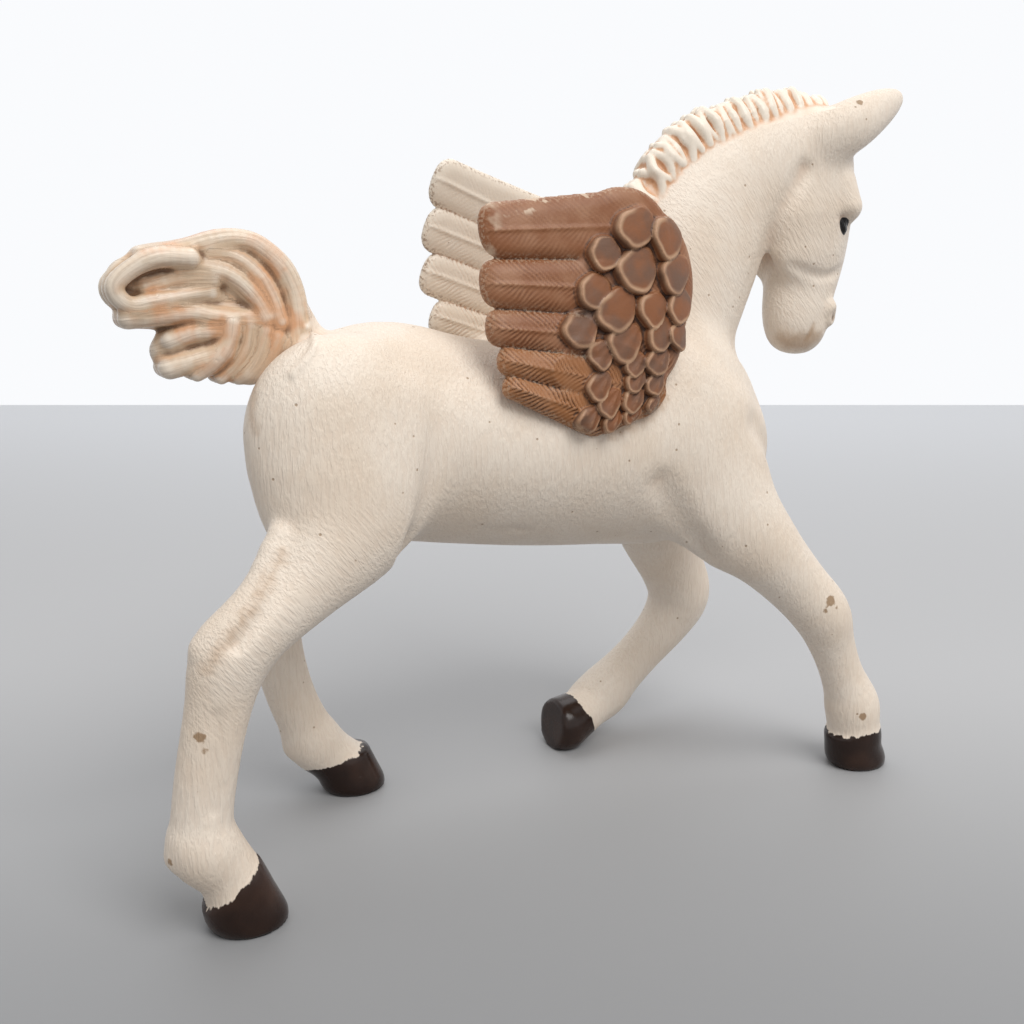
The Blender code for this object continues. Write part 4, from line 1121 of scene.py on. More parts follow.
    def long_feathers(self, forward: np.ndarray, upward: np.ndarray) -> tuple[np.ndarray, ...]:
        """Measures the long feathers.

        Args:
            forward: Forward coordinates.
            upward: Upward coordinates.

        Returns:
            Distance to the outline, dome from 0 to 1, millimetres from the feather's tip, signed
            millimetres from its shaft, and its number.
        """
        shape = np.broadcast_shapes(forward.shape, upward.shape)
        edge = np.full(shape, FAR_AWAY)
        dome, tip, shaft, number = (np.zeros(shape) for _ in range(4))
        best = np.full(shape, FAR_AWAY)
        feathers = self.near_primaries if self.side is Side.NEAR else self.far_primaries
        for index, ((ax, az, ar), (bx, bz, br)) in enumerate(feathers):
            dx, dz = bx - ax, bz - az
            length = math.hypot(dx, dz)
            reach = ((forward - ax) * dx + (upward - az) * dz) / length
            along = unit(reach / length)
            offset = ((forward - ax) * dz - (upward - az) * dx) / length
            beyond = np.maximum(-reach, 0.0) + np.maximum(reach - length, 0.0)
            power = self.tip_squareness
            gap = (np.abs(offset) ** power + beyond**power) ** (1.0 / power)
            half = ar + (br - ar) * along
            edge = np.minimum(edge, gap - half)
            share = gap / (half + 0.25)
            nearer = share < best
            best = np.where(nearer, share, best)
            dome = np.where(nearer, np.sqrt(unit(1.0 - share**2)), dome)
            tip = np.where(nearer, reach + half, tip)
            shaft = np.where(nearer, -offset, shaft)
            number = np.where(nearer, index, number)
        for (ax, az, ar), (bx, bz, br) in zip(self.shoulder[:-1], self.shoulder[1:]):
            dx, dz = bx - ax, bz - az
            along = unit(((forward - ax) * dx + (upward - az) * dz) / (dx * dx + dz * dz))
            gap = np.hypot(forward - ax - along * dx, upward - az - along * dz)
            edge = np.minimum(edge, gap - (ar + (br - ar) * along))
        return edge, dome, tip, shaft, number

    def coverts(self, forward: np.ndarray, upward: np.ndarray) -> tuple[np.ndarray, ...]:
        """Measures the scales: each is a tilted cushion, so its rear rim lies over the next.

        Args:
            forward: Forward coordinates.
            upward: Upward coordinates.

        Returns:
            Rise from 0 to about 1, distance from the scale's middle as a share of its size, place
            from its front to its back from -1 to 1, and the angle round its front end.
        """
        shape = np.broadcast_shapes(forward.shape, upward.shape)
        rise, rim, rear, fan = (np.zeros(shape) for _ in range(4))
        for index, (x, z, half_length, half_width) in enumerate(self.scales):
            tilt = math.radians(self.scale_tilt[0] + self.scale_tilt[1] * (75.0 - z))
            back = (-(forward - x) * math.cos(tilt) - (upward - z) * math.sin(tilt)) / half_length
            across = ((forward - x) * math.sin(tilt) - (upward - z) * math.cos(tilt)) / half_width
            across = across / (1.0 + self.scale_taper * np.clip(back, -1.0, 1.0))
            power = self.scale_squareness
            round_angle = np.arctan2(across, back)
            uneven = self.scale_unevenness[0] * np.sin(3 * round_angle + 2.1 * index)
            uneven = uneven + self.scale_unevenness[1] * np.sin(6 * round_angle + index)
            reach = (np.abs(back) ** power + np.abs(across) ** power) ** (1.0 / power) + uneven
            fall = unit((self.rim_end - reach) / self.rim_fall)
            fall = fall * fall * (3.0 - 2.0 * fall)
            cushion = 0.10 * unit(1.0 - reach**2)
            lifted = fall * (0.56 + 0.30 * np.clip(back, -1.2, 1.2) + cushion)
            higher = lifted > rise
            rise = np.where(higher, lifted, rise)
            rim = np.where(higher, reach, rim)
            rear = np.where(higher, back, rear)
            fan = np.where(higher, np.arctan2(across * half_width, (back + 1.3) * half_length), fan)
        return rise, rim, rear, fan

    def barbs(self, tip: np.ndarray, shaft: np.ndarray) -> np.ndarray:
        """Draws herringbone lines that curve from the shaft out towards the tip.

        Args:
            tip: Millimetres from the feather's tip.
            shaft: Signed millimetres from its shaft.

        Returns:
            Heights from -1 to 1.
        """
        wander = 0.10 * np.sin(1.7 * tip + 0.9 * shaft) + 0.07 * np.sin(3.1 * shaft - 0.8 * tip)
        strength = 0.72 + 0.28 * np.sin(0.9 * tip + 2.3 * shaft)
        place = tip + wander + 1.25 * np.abs(shaft) ** 0.85
        return strength * np.sin(2 * math.pi * place / self.barb_pitch)

    def relief(self, forward: np.ndarray, upward: np.ndarray) -> tuple[np.ndarray, ...]:
        """Works out how far both faces stand from the plate's middle.

        Args:
            forward: Forward coordinates.
            upward: Upward coordinates.

        Returns:
            Distance to the outline, height of the outer face and height of the inner face.
        """
        edge, dome, tip, shaft, number = self.long_feathers(forward, upward)
        rise, rim, rear, fan = self.coverts(forward, upward)
        fore = unit((forward - self.fore_line) / self.fore_reach)
        scaled = unit(3.0 * rise)
        half = self.thickness / 2
        inset = unit(-edge / self.rim_rounding)
        rounding = half * (1.0 - np.sqrt(1.0 - (1.0 - inset) ** 2)) * 0.8
        valleys = self.feather_dome * (1.0 - dome) * (1.0 - 0.8 * fore)
        strength = self.barb_strength[0] + self.barb_strength[1] * number
        lines = self.barb_depth * strength * self.barbs(tip, shaft) * np.sqrt(dome)
        ridge = self.shaft_rise * np.exp(-((shaft / self.shaft_width) ** 2)) * dome
        fans = self.fan_rise * np.sin(self.fan_count * fan) * np.clip((62.0 - upward) / 6.0, 0.15, 1.0)
        lip = self.lip_rise * np.exp(-(((rim - self.lip_place) / self.lip_width) ** 2)) * unit(rear + 0.6)
        outer = half - valleys + self.scale_rise * rise - rounding
        outer = outer + (lines + ridge) * (1.0 - scaled) * (1.0 - 0.5 * fore) + (fans + lip) * scaled
        inner = half - self.inner_dome * (1.0 - dome) - rounding + lines + ridge
        return edge, outer, inner

    def root_field(self, points: Axes) -> np.ndarray:
        """Measures the distance to the tongue that goes into the flank.

        Args:
            points: X, Y and Z.

        Returns:
            Distances, negative inside.
        """
        x, y, z = points
        forward = x - self.root_middle[0]
        upward = z - self.root_middle[1] + self.root_slope * forward
        oval = np.sqrt((forward / self.root_half[0]) ** 2 + (upward / self.root_half[1]) ** 2) - 1.0
        inner_end = self.flank_out - self.seat_depth - self.side.value * y
        outer_end = self.side.value * y - self.tongue_out
        return np.maximum(np.maximum(oval * self.root_half[1], inner_end), outer_end)

    def carve(self, body: Clay) -> tuple[np.ndarray, np.ndarray]:
        """Carves the wing against the body that it is seated in.

        Args:
            body: The body's clay, before its seats are cut.

        Returns:
            Vertices and quads.
        """
        near_block, far_block = self.blocks
        low, high = near_block if self.side is Side.NEAR else far_block
        clay = Clay(low, high, self.step)
        cut, points = clay.window(low, high)
        forward, upward, outward = self.to_plate(points)
        edge, outer, inner = self.relief(forward, upward)
        faces = np.maximum(outward - outer, -outward - inner)
        plate = np.maximum(faces * 0.85, edge)
        root = self.root_field(points)
        joined = smooth_min(plate, root, self.root_blend)
        trimmed = np.maximum(joined, self.seat_gap - body.sample(points))
        clay.field[cut] = np.minimum(trimmed, root)
        vertices, quads, _ = clay.surface()
        return clay.settled(vertices), quads

    def marks(self, spots: np.ndarray) -> Marks:
        """Measures where each vertex lies on its feather or scale.

        Args:
            spots: Vertices.

        Returns:
            The marks that the feather paint reads.
        """
        forward, upward, outward = self.to_plate((spots[:, 0], spots[:, 1], spots[:, 2]))
        edge, dome, tip, shaft, number = self.long_feathers(forward, upward)
        rise, rim, rear, _ = self.coverts(forward, upward)
        outside = outward > 0
        return {
            "edge": -edge,
            "dome": dome,
            "tip": tip,
            "shaft": shaft,
            "feather": number,
            "covert": np.where(outside, rise, 0.0),
            "rim": np.where(outside, rim, 0.0),
            "rear": np.where(outside, rear, 0.0),
            "barbs": self.barbs(tip, shaft),
        }


# Paint


class Paint:
    """A procedural material, built node by node round one Principled shader."""

    def __init__(self, name: str) -> None:
        """Starts the material.

        Args:
            name: Its name.
        """
        self.material = bpy.data.materials.new(name)
        self.material.use_nodes = True
        self.nodes = self.material.node_tree.nodes
        self.links = self.material.node_tree.links
        self.shader = self.nodes["Principled BSDF"]

    def put(self, socket: Socket, value: object) -> None:
        """Links a socket to an input, or sets the input to a value."""
        if isinstance(value, Socket):
            self.links.new(value, socket)
        elif isinstance(value, tuple) and len(value) == 3 and socket.type == "RGBA":
            socket.default_value = (*value, 1.0)
        else:
            socket.default_value = value

    def mark(self, name: str) -> Socket:
        """Reads a number stored on the mesh."""
        node = self.nodes.new("ShaderNodeAttribute")
        node.attribute_name = name
        return node.outputs["Fac"]

    def place(self, scale: Sequence[float], turn: Sequence[float] = (0.0, 0.0, 0.0)) -> Socket:
        """Gives the place on the object, in cells.

        Args:
            scale: Cells for each millimetre along X, Y and Z.
            turn: Rotation in degrees, done before the scaling.

        Returns:
            The socket with the place.
        """
        coordinates = self.nodes.new("ShaderNodeTexCoord")
        turned = self.nodes.new("ShaderNodeVectorRotate")
        turned.rotation_type = "EULER_XYZ"
        self.links.new(coordinates.outputs["Object"], turned.inputs["Vector"])
        turned.inputs["Rotation"].default_value = [math.radians(angle) for angle in turn]
        scaled = self.nodes.new("ShaderNodeVectorMath")
        scaled.operation = "MULTIPLY"
        self.links.new(turned.outputs[0], scaled.inputs[0])
        scaled.inputs[1].default_value = [part / MM for part in scale]
        return scaled.outputs[0]

    def even_place(self, scale: float) -> Socket:
        """Gives the place in cells of one size along all three axes."""
        return self.place((scale, scale, scale))

    def noise(self, place: Socket, detail: float = 2.0, roughness: float = 0.5) -> Socket:
        """Makes soft noise of one cell's size, about 0.5 in the middle.

        Args:
            place: The place, in cells.
            detail: Finer layers.
            roughness: How strong the finer layers are.

        Returns:
            The noise's socket.
        """
        node = self.nodes.new("ShaderNodeTexNoise")
        self.links.new(place, node.inputs["Vector"])
        node.inputs["Scale"].default_value = 1.0
        node.inputs["Detail"].default_value = detail
        node.inputs["Roughness"].default_value = roughness
        return node.outputs["Fac"]

    def joined(self, x: object, y: object, z: object) -> Socket:
        """Joins three numbers into one place."""
        node = self.nodes.new("ShaderNodeCombineXYZ")
        for socket, value in zip(node.inputs, (x, y, z)):
            self.put(socket, value)
        return node.outputs[0]

    def spots(self, place: Socket) -> Socket:
        """Distance to the nearest of scattered points, one for each cell."""
        node = self.nodes.new("ShaderNodeTexVoronoi")
        self.links.new(place, node.inputs["Vector"])
        node.inputs["Scale"].default_value = 1.0
        return node.outputs["Distance"]

    def sum(self, first: object, second: object) -> Socket:
        """Adds two values."""
        return self.maths("ADD", first, second)

    def times(self, first: object, second: object) -> Socket:
        """Multiplies two values."""
        return self.maths("MULTIPLY", first, second)

    def maths(self, operation: str, first: object, second: object) -> Socket:
        """Does one step of arithmetic.

        Args:
            operation: The Math node's operation.
            first: A socket or a number.
            second: A socket or a number.

        Returns:
            The result's socket.
        """
        node = self.nodes.new("ShaderNodeMath")
        node.operation = operation
        self.put(node.inputs[0], first)
        self.put(node.inputs[1], second)
        return node.outputs[0]

    def between(self, value: object, low: float, high: float) -> Socket:
        """A soft step: 0 where the value is at low, 1 where it is at high."""
        node = self.nodes.new("ShaderNodeMapRange")
        node.interpolation_type = "SMOOTHSTEP"
        rising = low < high
        self.put(node.inputs["Value"], value)
        node.inputs["From Min"].default_value = low if rising else high
        node.inputs["From Max"].default_value = high if rising else low
        node.inputs["To Min"].default_value = 0.0 if rising else 1.0
        node.inputs["To Max"].default_value = 1.0 if rising else 0.0
        return node.outputs["Result"]

    def colour(self, share: object, first: object, second: object) -> Socket:
        """Mixes two colours.

        Args:
            share: 0 for the first, 1 for the second.
            first: A socket or a colour.
            second: A socket or a colour.

        Returns:
            The mixed colour's socket.
        """
        node = self.nodes.new("ShaderNodeMix")
        node.data_type = "RGBA"
        self.put(node.inputs[0], share)
        self.put(node.inputs[6], first)
        self.put(node.inputs[7], second)
        return node.outputs[2]

    def marked(self, mark: str, start: float, end: float) -> Socket:
        """Gives where a mark goes from one value to another, from 0 to 1."""
        return self.between(self.mark(mark), start, end)

    def over(self, under: object, upper: object, share: object, strength: float) -> Socket:
        """Lays a colour over another with a share of its strength.

        Args:
            under: The colour below.
            upper: The colour above.
            share: Where it shows, from 0 to 1.
            strength: How strongly it shows there.

        Returns:
            The mixed colour's socket.
        """
        return self.colour(self.times(share, strength), under, upper)

    def bump(self, height: Socket, depth: float, under: object = None) -> Socket:
        """Turns a height from 0 to 1 into a bump of a real depth in millimetres."""
        node = self.nodes.new("ShaderNodeBump")
        node.inputs["Strength"].default_value = 1.0
        node.inputs["Distance"].default_value = depth * MM
        self.links.new(height, node.inputs["Height"])
        if under is not None:
            self.put(node.inputs["Normal"], under)
        return node.outputs["Normal"]

    def finish(
        self, colour: object, roughness: object, normal: object, coat: float = 0.0
    ) -> bpy.types.Material:
        """Links the last colour, roughness and normal to the shader.

        Args:
            colour: Base colour.
            roughness: Roughness.
            normal: Normal.
            coat: Weight of the clear lacquer.

        Returns:
            The material.
        """
        self.put(self.shader.inputs["Base Color"], colour)
        self.put(self.shader.inputs["Roughness"], roughness)
        self.put(self.shader.inputs["Normal"], normal)
        self.shader.inputs["Specular IOR Level"].default_value = 0.3
        self.shader.inputs["Coat Weight"].default_value = coat
        self.shader.inputs["Coat Roughness"].default_value = 0.3
        return self.material


@dataclass(frozen=True)
class BodyPaint:
    """Warm cream paint over engraved hair with painted shade in its strokes and folds, pearl mane and tail
    with painted highlight and shade, and dark hooves.
    """

    cream: Colour = (0.83, 0.735, 0.635)
    cream_warm: Colour = (0.78, 0.665, 0.55)
    cream_shade: Colour = (0.60, 0.435, 0.325)
    # Brown of the stained chin and lips, also used for painted shade in the tendon groove, below the tail
    # root and under the near wing
    stain_and_shade: Colour = (0.46, 0.30, 0.18)
    pearl: Colour = (0.86, 0.775, 0.67)
    peach: Colour = (0.66, 0.37, 0.21)
    tail_pearl: Colour = (0.66, 0.50, 0.355)
    tail_brown: Colour = (0.20, 0.105, 0.055)
    hoof: Colour = (0.016, 0.006, 0.003)
    hoof_light: Colour = (0.048, 0.022, 0.013)
    dirt: Colour = (0.30, 0.18, 0.09)
    black: Colour = (0.008, 0.007, 0.007)
    stroke_depth: float = 0.042
    roughness: float = 0.42

    def strokes(self, paint: Paint) -> Socket:
        """Short engraved hairs, upright on the sides and slanting where the mesh says so."""
        upright = paint.noise(paint.place((3.2, 3.2, 0.46)), 2.0, 0.6)
        slanting = paint.noise(paint.place((3.2, 3.2, 0.46), (0.0, 38.0, 0.0)), 2.0, 0.6)
        return paint.between(paint.colour(paint.mark("slant"), upright, slanting), 0.36, 0.64)

    def hair(self, paint: Paint, mane: object, tail: object) -> tuple[object, object]:
        """Paints the mane and the tail: pearl ridges with painted shade in peach in the mane's hollows, and
        on the tail painted highlight in pearl on the ridges and painted shade in brown in the hollows and
        between the strands.

        Args:
            paint: The material.
            mane: 1 on the mane. Not used.
            tail: 1 on the tail.

        Returns:
            The colour and the height of the fine strands.
        """
        hollow = paint.mark("hollow")
        along = paint.times(paint.mark("along"), 0.22)
        across, lock = paint.mark("across"), paint.mark("lock")
        strands = paint.noise(paint.joined(paint.times(across, 3.4), along, lock))
        tips = paint.noise(paint.joined(paint.times(across, 1.3), along, lock))
        # Mane: pearl, with painted shade in peach in the hollows
        colour = paint.colour(paint.between(hollow, -0.03, 0.07), self.pearl, self.peach)
        flushed = paint.between(paint.noise(paint.even_place(0.26)), 0.48, 0.64)
        flush = paint.sum(paint.times(paint.between(tips, 0.45, 0.62), 0.4), flushed)
        brushed = paint.colour(flush, self.tail_pearl, self.peach)
        # Tail: painted highlight in pearl on the ridges, painted shade in brown in the hollows and in the
        # fine lines between the strands
        brushed = paint.over(brushed, self.pearl, paint.between(hollow, 0.01, -0.09), 0.75)
        brushed = paint.over(brushed, self.tail_brown, paint.between(hollow, 0.015, 0.11), 0.85)
        lines = paint.times(paint.between(strands, 0.50, 0.34), 0.22)
        brushed = paint.colour(lines, brushed, self.tail_brown)
        height = paint.times(strands, tail)
        return paint.colour(tail, colour, brushed), height

    def build(self) -> bpy.types.Material:
        """Builds the material.

        Returns:
            The material for all parts of the body.
        """
        paint = Paint("cream_paint_finish")
        strokes = self.strokes(paint)
        broad = paint.mark("broad")
        patches = paint.noise(paint.even_place(0.10), 3.0)
        grain = paint.noise(paint.even_place(3.0), 2.0)
        ragged = paint.noise(paint.even_place(0.9), 3.0, 0.6)
        edge_noise = paint.times(paint.sum(ragged, -0.5), 1.6)

        # Cream, with painted shade in the strokes and the folds
        colour = paint.colour(paint.between(patches, 0.35, 0.70), self.cream, self.cream_warm)
        colour = paint.over(colour, self.cream_shade, paint.between(strokes, 0.6, 0.0), 0.13)
        colour = paint.over(colour, self.cream_shade, paint.between(broad, 0.05, 0.42), 0.75)
        # Painted shade in the near hind's tendon groove, below the tail root and under the near wing's
        # lower edge
        shade_streak = paint.times(paint.between(paint.sum(paint.mark("shade_streak"), edge_noise), 1.1, -0.3), 0.55)
        colour = paint.colour(shade_streak, colour, self.stain_and_shade)

        # Small pits and specks
        pits = paint.between(paint.spots(paint.even_place(0.40)), 0.075, 0.04)
        colour = paint.over(colour, self.dirt, pits, 0.7)

        # Mane and tail
        mane = paint.between(paint.sum(paint.mark("mane"), paint.times(edge_noise, 0.5)), 0.5, 0.0)
        tail = paint.between(paint.sum(paint.mark("tail"), paint.times(edge_noise, 0.5)), 0.3, -0.3)
        hair = paint.maths("MAXIMUM", mane, tail)
        hair_colour, strand_height = self.hair(paint, mane, tail)
        colour = paint.colour(hair, colour, hair_colour)

        # Chips down to the bare brown plastic, and the stained chin, lips and nostril
        chips = paint.between(paint.sum(paint.mark("chips"), paint.times(edge_noise, 0.6)), 0.1, -0.1)
        colour = paint.over(colour, self.dirt, chips, 0.85)
        chin = paint.between(paint.sum(paint.mark("chin"), edge_noise), 0.9, -0.8)
        colour = paint.over(colour, self.stain_and_shade, chin, 0.65)
        lips = paint.marked("mouth", 0.42, 0.12)
        colour = paint.over(colour, self.stain_and_shade, lips, 0.7)
        nostril = paint.marked("nostril", 0.6, 0.3)
        colour = paint.over(colour, self.tail_brown, nostril, 0.8)

        # Hooves with a brushed upper edge, and the black eye
        brushed = paint.noise(paint.place((0.9, 0.9, 0.25)), 3.0, 0.6)
        line = paint.sum(paint.mark("hoof"), paint.times(paint.sum(brushed, -0.5), 1.5))
        hoof = paint.between(line, 0.22, 0.08)
        horn = paint.colour(paint.between(patches, 0.45, 0.75), self.hoof, self.hoof_light)
        colour = paint.colour(hoof, colour, horn)
        eye = paint.marked("eye", 0.05, -0.05)
        colour = paint.colour(eye, colour, self.black)

        roughness = paint.sum(paint.times(grain, 0.14), self.roughness - 0.06)
        roughness = paint.sum(roughness, paint.times(hair, -0.17))
        roughness = paint.sum(roughness, paint.times(hoof, -0.22))
        roughness = paint.sum(roughness, paint.times(eye, -0.34))
        bare = paint.maths("SUBTRACT", 1.0, paint.maths("MAXIMUM", hair, hoof))
        normal = paint.bump(paint.times(strokes, bare), self.stroke_depth)
        normal = paint.bump(strand_height, 0.08, normal)
        normal = paint.bump(paint.sum(grain, paint.times(pits, -1.5)), 0.02, normal)
        return paint.finish(colour, roughness, normal, coat=0.08)


@dataclass(frozen=True)
class FeatherPaint:
    """Feather paint: pale painted highlight on the ridges, a mid tone, dark painted shade in the recesses,
    and rimmed scales.
    """

    name: str
    middle: Colour
    lower: Colour
    # Lighter patches, and the painted highlight on the barbs' crests and on the ridges
    ridge: Colour
    recess_shade: Colour
    # Painted shade between the barbs, in the recesses and in the broad hollows
    covert: Colour
    rim: Colour
    speck: Colour
    speck_share: float
    barb_share: float
    rubbed_share: float
    roughness: float

    def build(self) -> bpy.types.Material:
        """Builds the material.

        Returns:
            The wing's material.
        """
        paint = Paint(self.name)
        hollow = paint.mark("hollow")
        grain = paint.noise(paint.even_place(3.0), 3.0, 0.6)
        patches = paint.noise(paint.even_place(0.28), 3.0)
        depth = paint.sum(hollow, paint.times(paint.sum(grain, -0.5), 0.05))
        scaled = paint.marked("covert", 0.10, 0.26)
        bare = paint.maths("SUBTRACT", 1.0, scaled)

        # Long feathers: barbs, shaft and a lighter lower pair; painted highlight on the barbs' crests and
        # painted shade between them
        colour = paint.colour(paint.marked("feather", 2.4, 3.2), self.middle, self.lower)
        colour = paint.over(colour, self.ridge, paint.between(patches, 0.40, 0.75), 0.45)
        barbs = paint.mark("barbs")
        clearer = paint.sum(paint.times(paint.mark("feather"), 0.19), 0.22)
        bare = paint.times(bare, clearer)
        # Painted highlight on the barbs' crests and painted shade between them
        light = paint.times(paint.times(paint.between(barbs, 0.0, 0.9), bare), self.barb_share)
        colour = paint.colour(light, colour, self.ridge)
        dark = paint.times(paint.times(paint.between(barbs, -0.1, -0.9), bare), self.barb_share * 1.2)
        colour = paint.colour(dark, colour, self.recess_shade)

        # Scales: dull middles and pale raised rims
        dull = paint.colour(paint.between(patches, 0.35, 0.70), self.covert, self.middle)
        colour = paint.colour(scaled, colour, dull)
        rim = paint.mark("rim")
        rim = paint.times(paint.between(rim, 0.66, 0.86), paint.between(rim, 1.0, 0.92))
        rim = paint.times(paint.times(rim, scaled), paint.marked("rear", -0.55, 0.15))
        colour = paint.colour(paint.times(rim, paint.between(patches, 0.25, 0.62)), colour, self.rim)

        # Painted highlight on the ridges, painted shade in the recesses and the broad hollows, and specks
        # along the edge
        colour = paint.over(colour, self.ridge, paint.between(depth, -0.02, -0.09), 0.7)
        colour = paint.colour(paint.between(depth, 0.02, 0.10), colour, self.recess_shade)
        broad = paint.times(paint.marked("broad", 0.10, 0.38), 0.8)
        colour = paint.colour(broad, colour, self.recess_shade)
        worn = paint.times(paint.marked("edge", 0.9, 0.1), paint.between(grain, 0.50, 0.60))
        colour = paint.over(colour, self.speck, worn, self.speck_share)
        top_feather = paint.marked("feather", 0.6, 0.4)
        rubbed = paint.times(paint.marked("tip", 2.6, 0.9), paint.between(patches, 0.42, 0.56))
        streaks = paint.noise(paint.place((0.8, 0.8, 0.35), (0.0, 40.0, 0.0)), 2.0)
        streaks = paint.between(streaks, 0.60, 0.66)
        streaks = paint.times(streaks, paint.marked("edge", 1.9, 1.2))
        streaks = paint.times(streaks, paint.marked("shaft", 0.2, 1.0))
        rubbed = paint.times(paint.maths("MAXIMUM", rubbed, streaks), top_feather)
        colour = paint.over(colour, self.speck, rubbed, self.rubbed_share)
        roughness = paint.sum(paint.times(grain, 0.2), self.roughness - 0.1)
        normal = paint.bump(grain, 0.03)
        return paint.finish(colour, roughness, normal, coat=0.08)


# Building the pieces


def placed_object(name: str, data: bpy.types.ID) -> bpy.types.Object:
    """Makes an object and links it to the scene."""
    made = bpy.data.objects.new(name, data)
    bpy.context.scene.collection.objects.link(made)
    return made


def make_piece(
    name: str,
    vertices: np.ndarray,
    quads: np.ndarray,
    marks: Marks,
    material: bpy.types.Material,
) -> bpy.types.Object:
    """Makes a mesh object from carving coordinates that are already in the frame.

    Args:
        name: Object name.
        vertices: Vertices in metres.
        quads: Quads.
        marks: Numbers to store on the vertices.
        material: Its finish.

    Returns:
        The object.
    """
    mesh = bpy.data.meshes.new(name)
    mesh.from_pydata(vertices.tolist(), [], quads.tolist())
    mesh.update()
    mesh.shade_smooth()
    for mark, values in marks.items():
        stored = mesh.attributes.new(mark, "FLOAT", "POINT")
        stored.data.foreach_set("value", np.ascontiguousarray(values, np.float32))
    mesh.materials.append(material)
    return placed_object(name, mesh)


@dataclass(frozen=True)
class FrameFit:
    """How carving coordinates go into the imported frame, and the box that holds them there."""

    shift: np.ndarray
    low: np.ndarray
    high: np.ndarray

    def place(self, vertices: np.ndarray) -> np.ndarray:
        """Turns carving millimetres into metres of the frame, kept inside the frame's box."""
        return np.clip((vertices + self.shift) * MM, self.low, self.high)


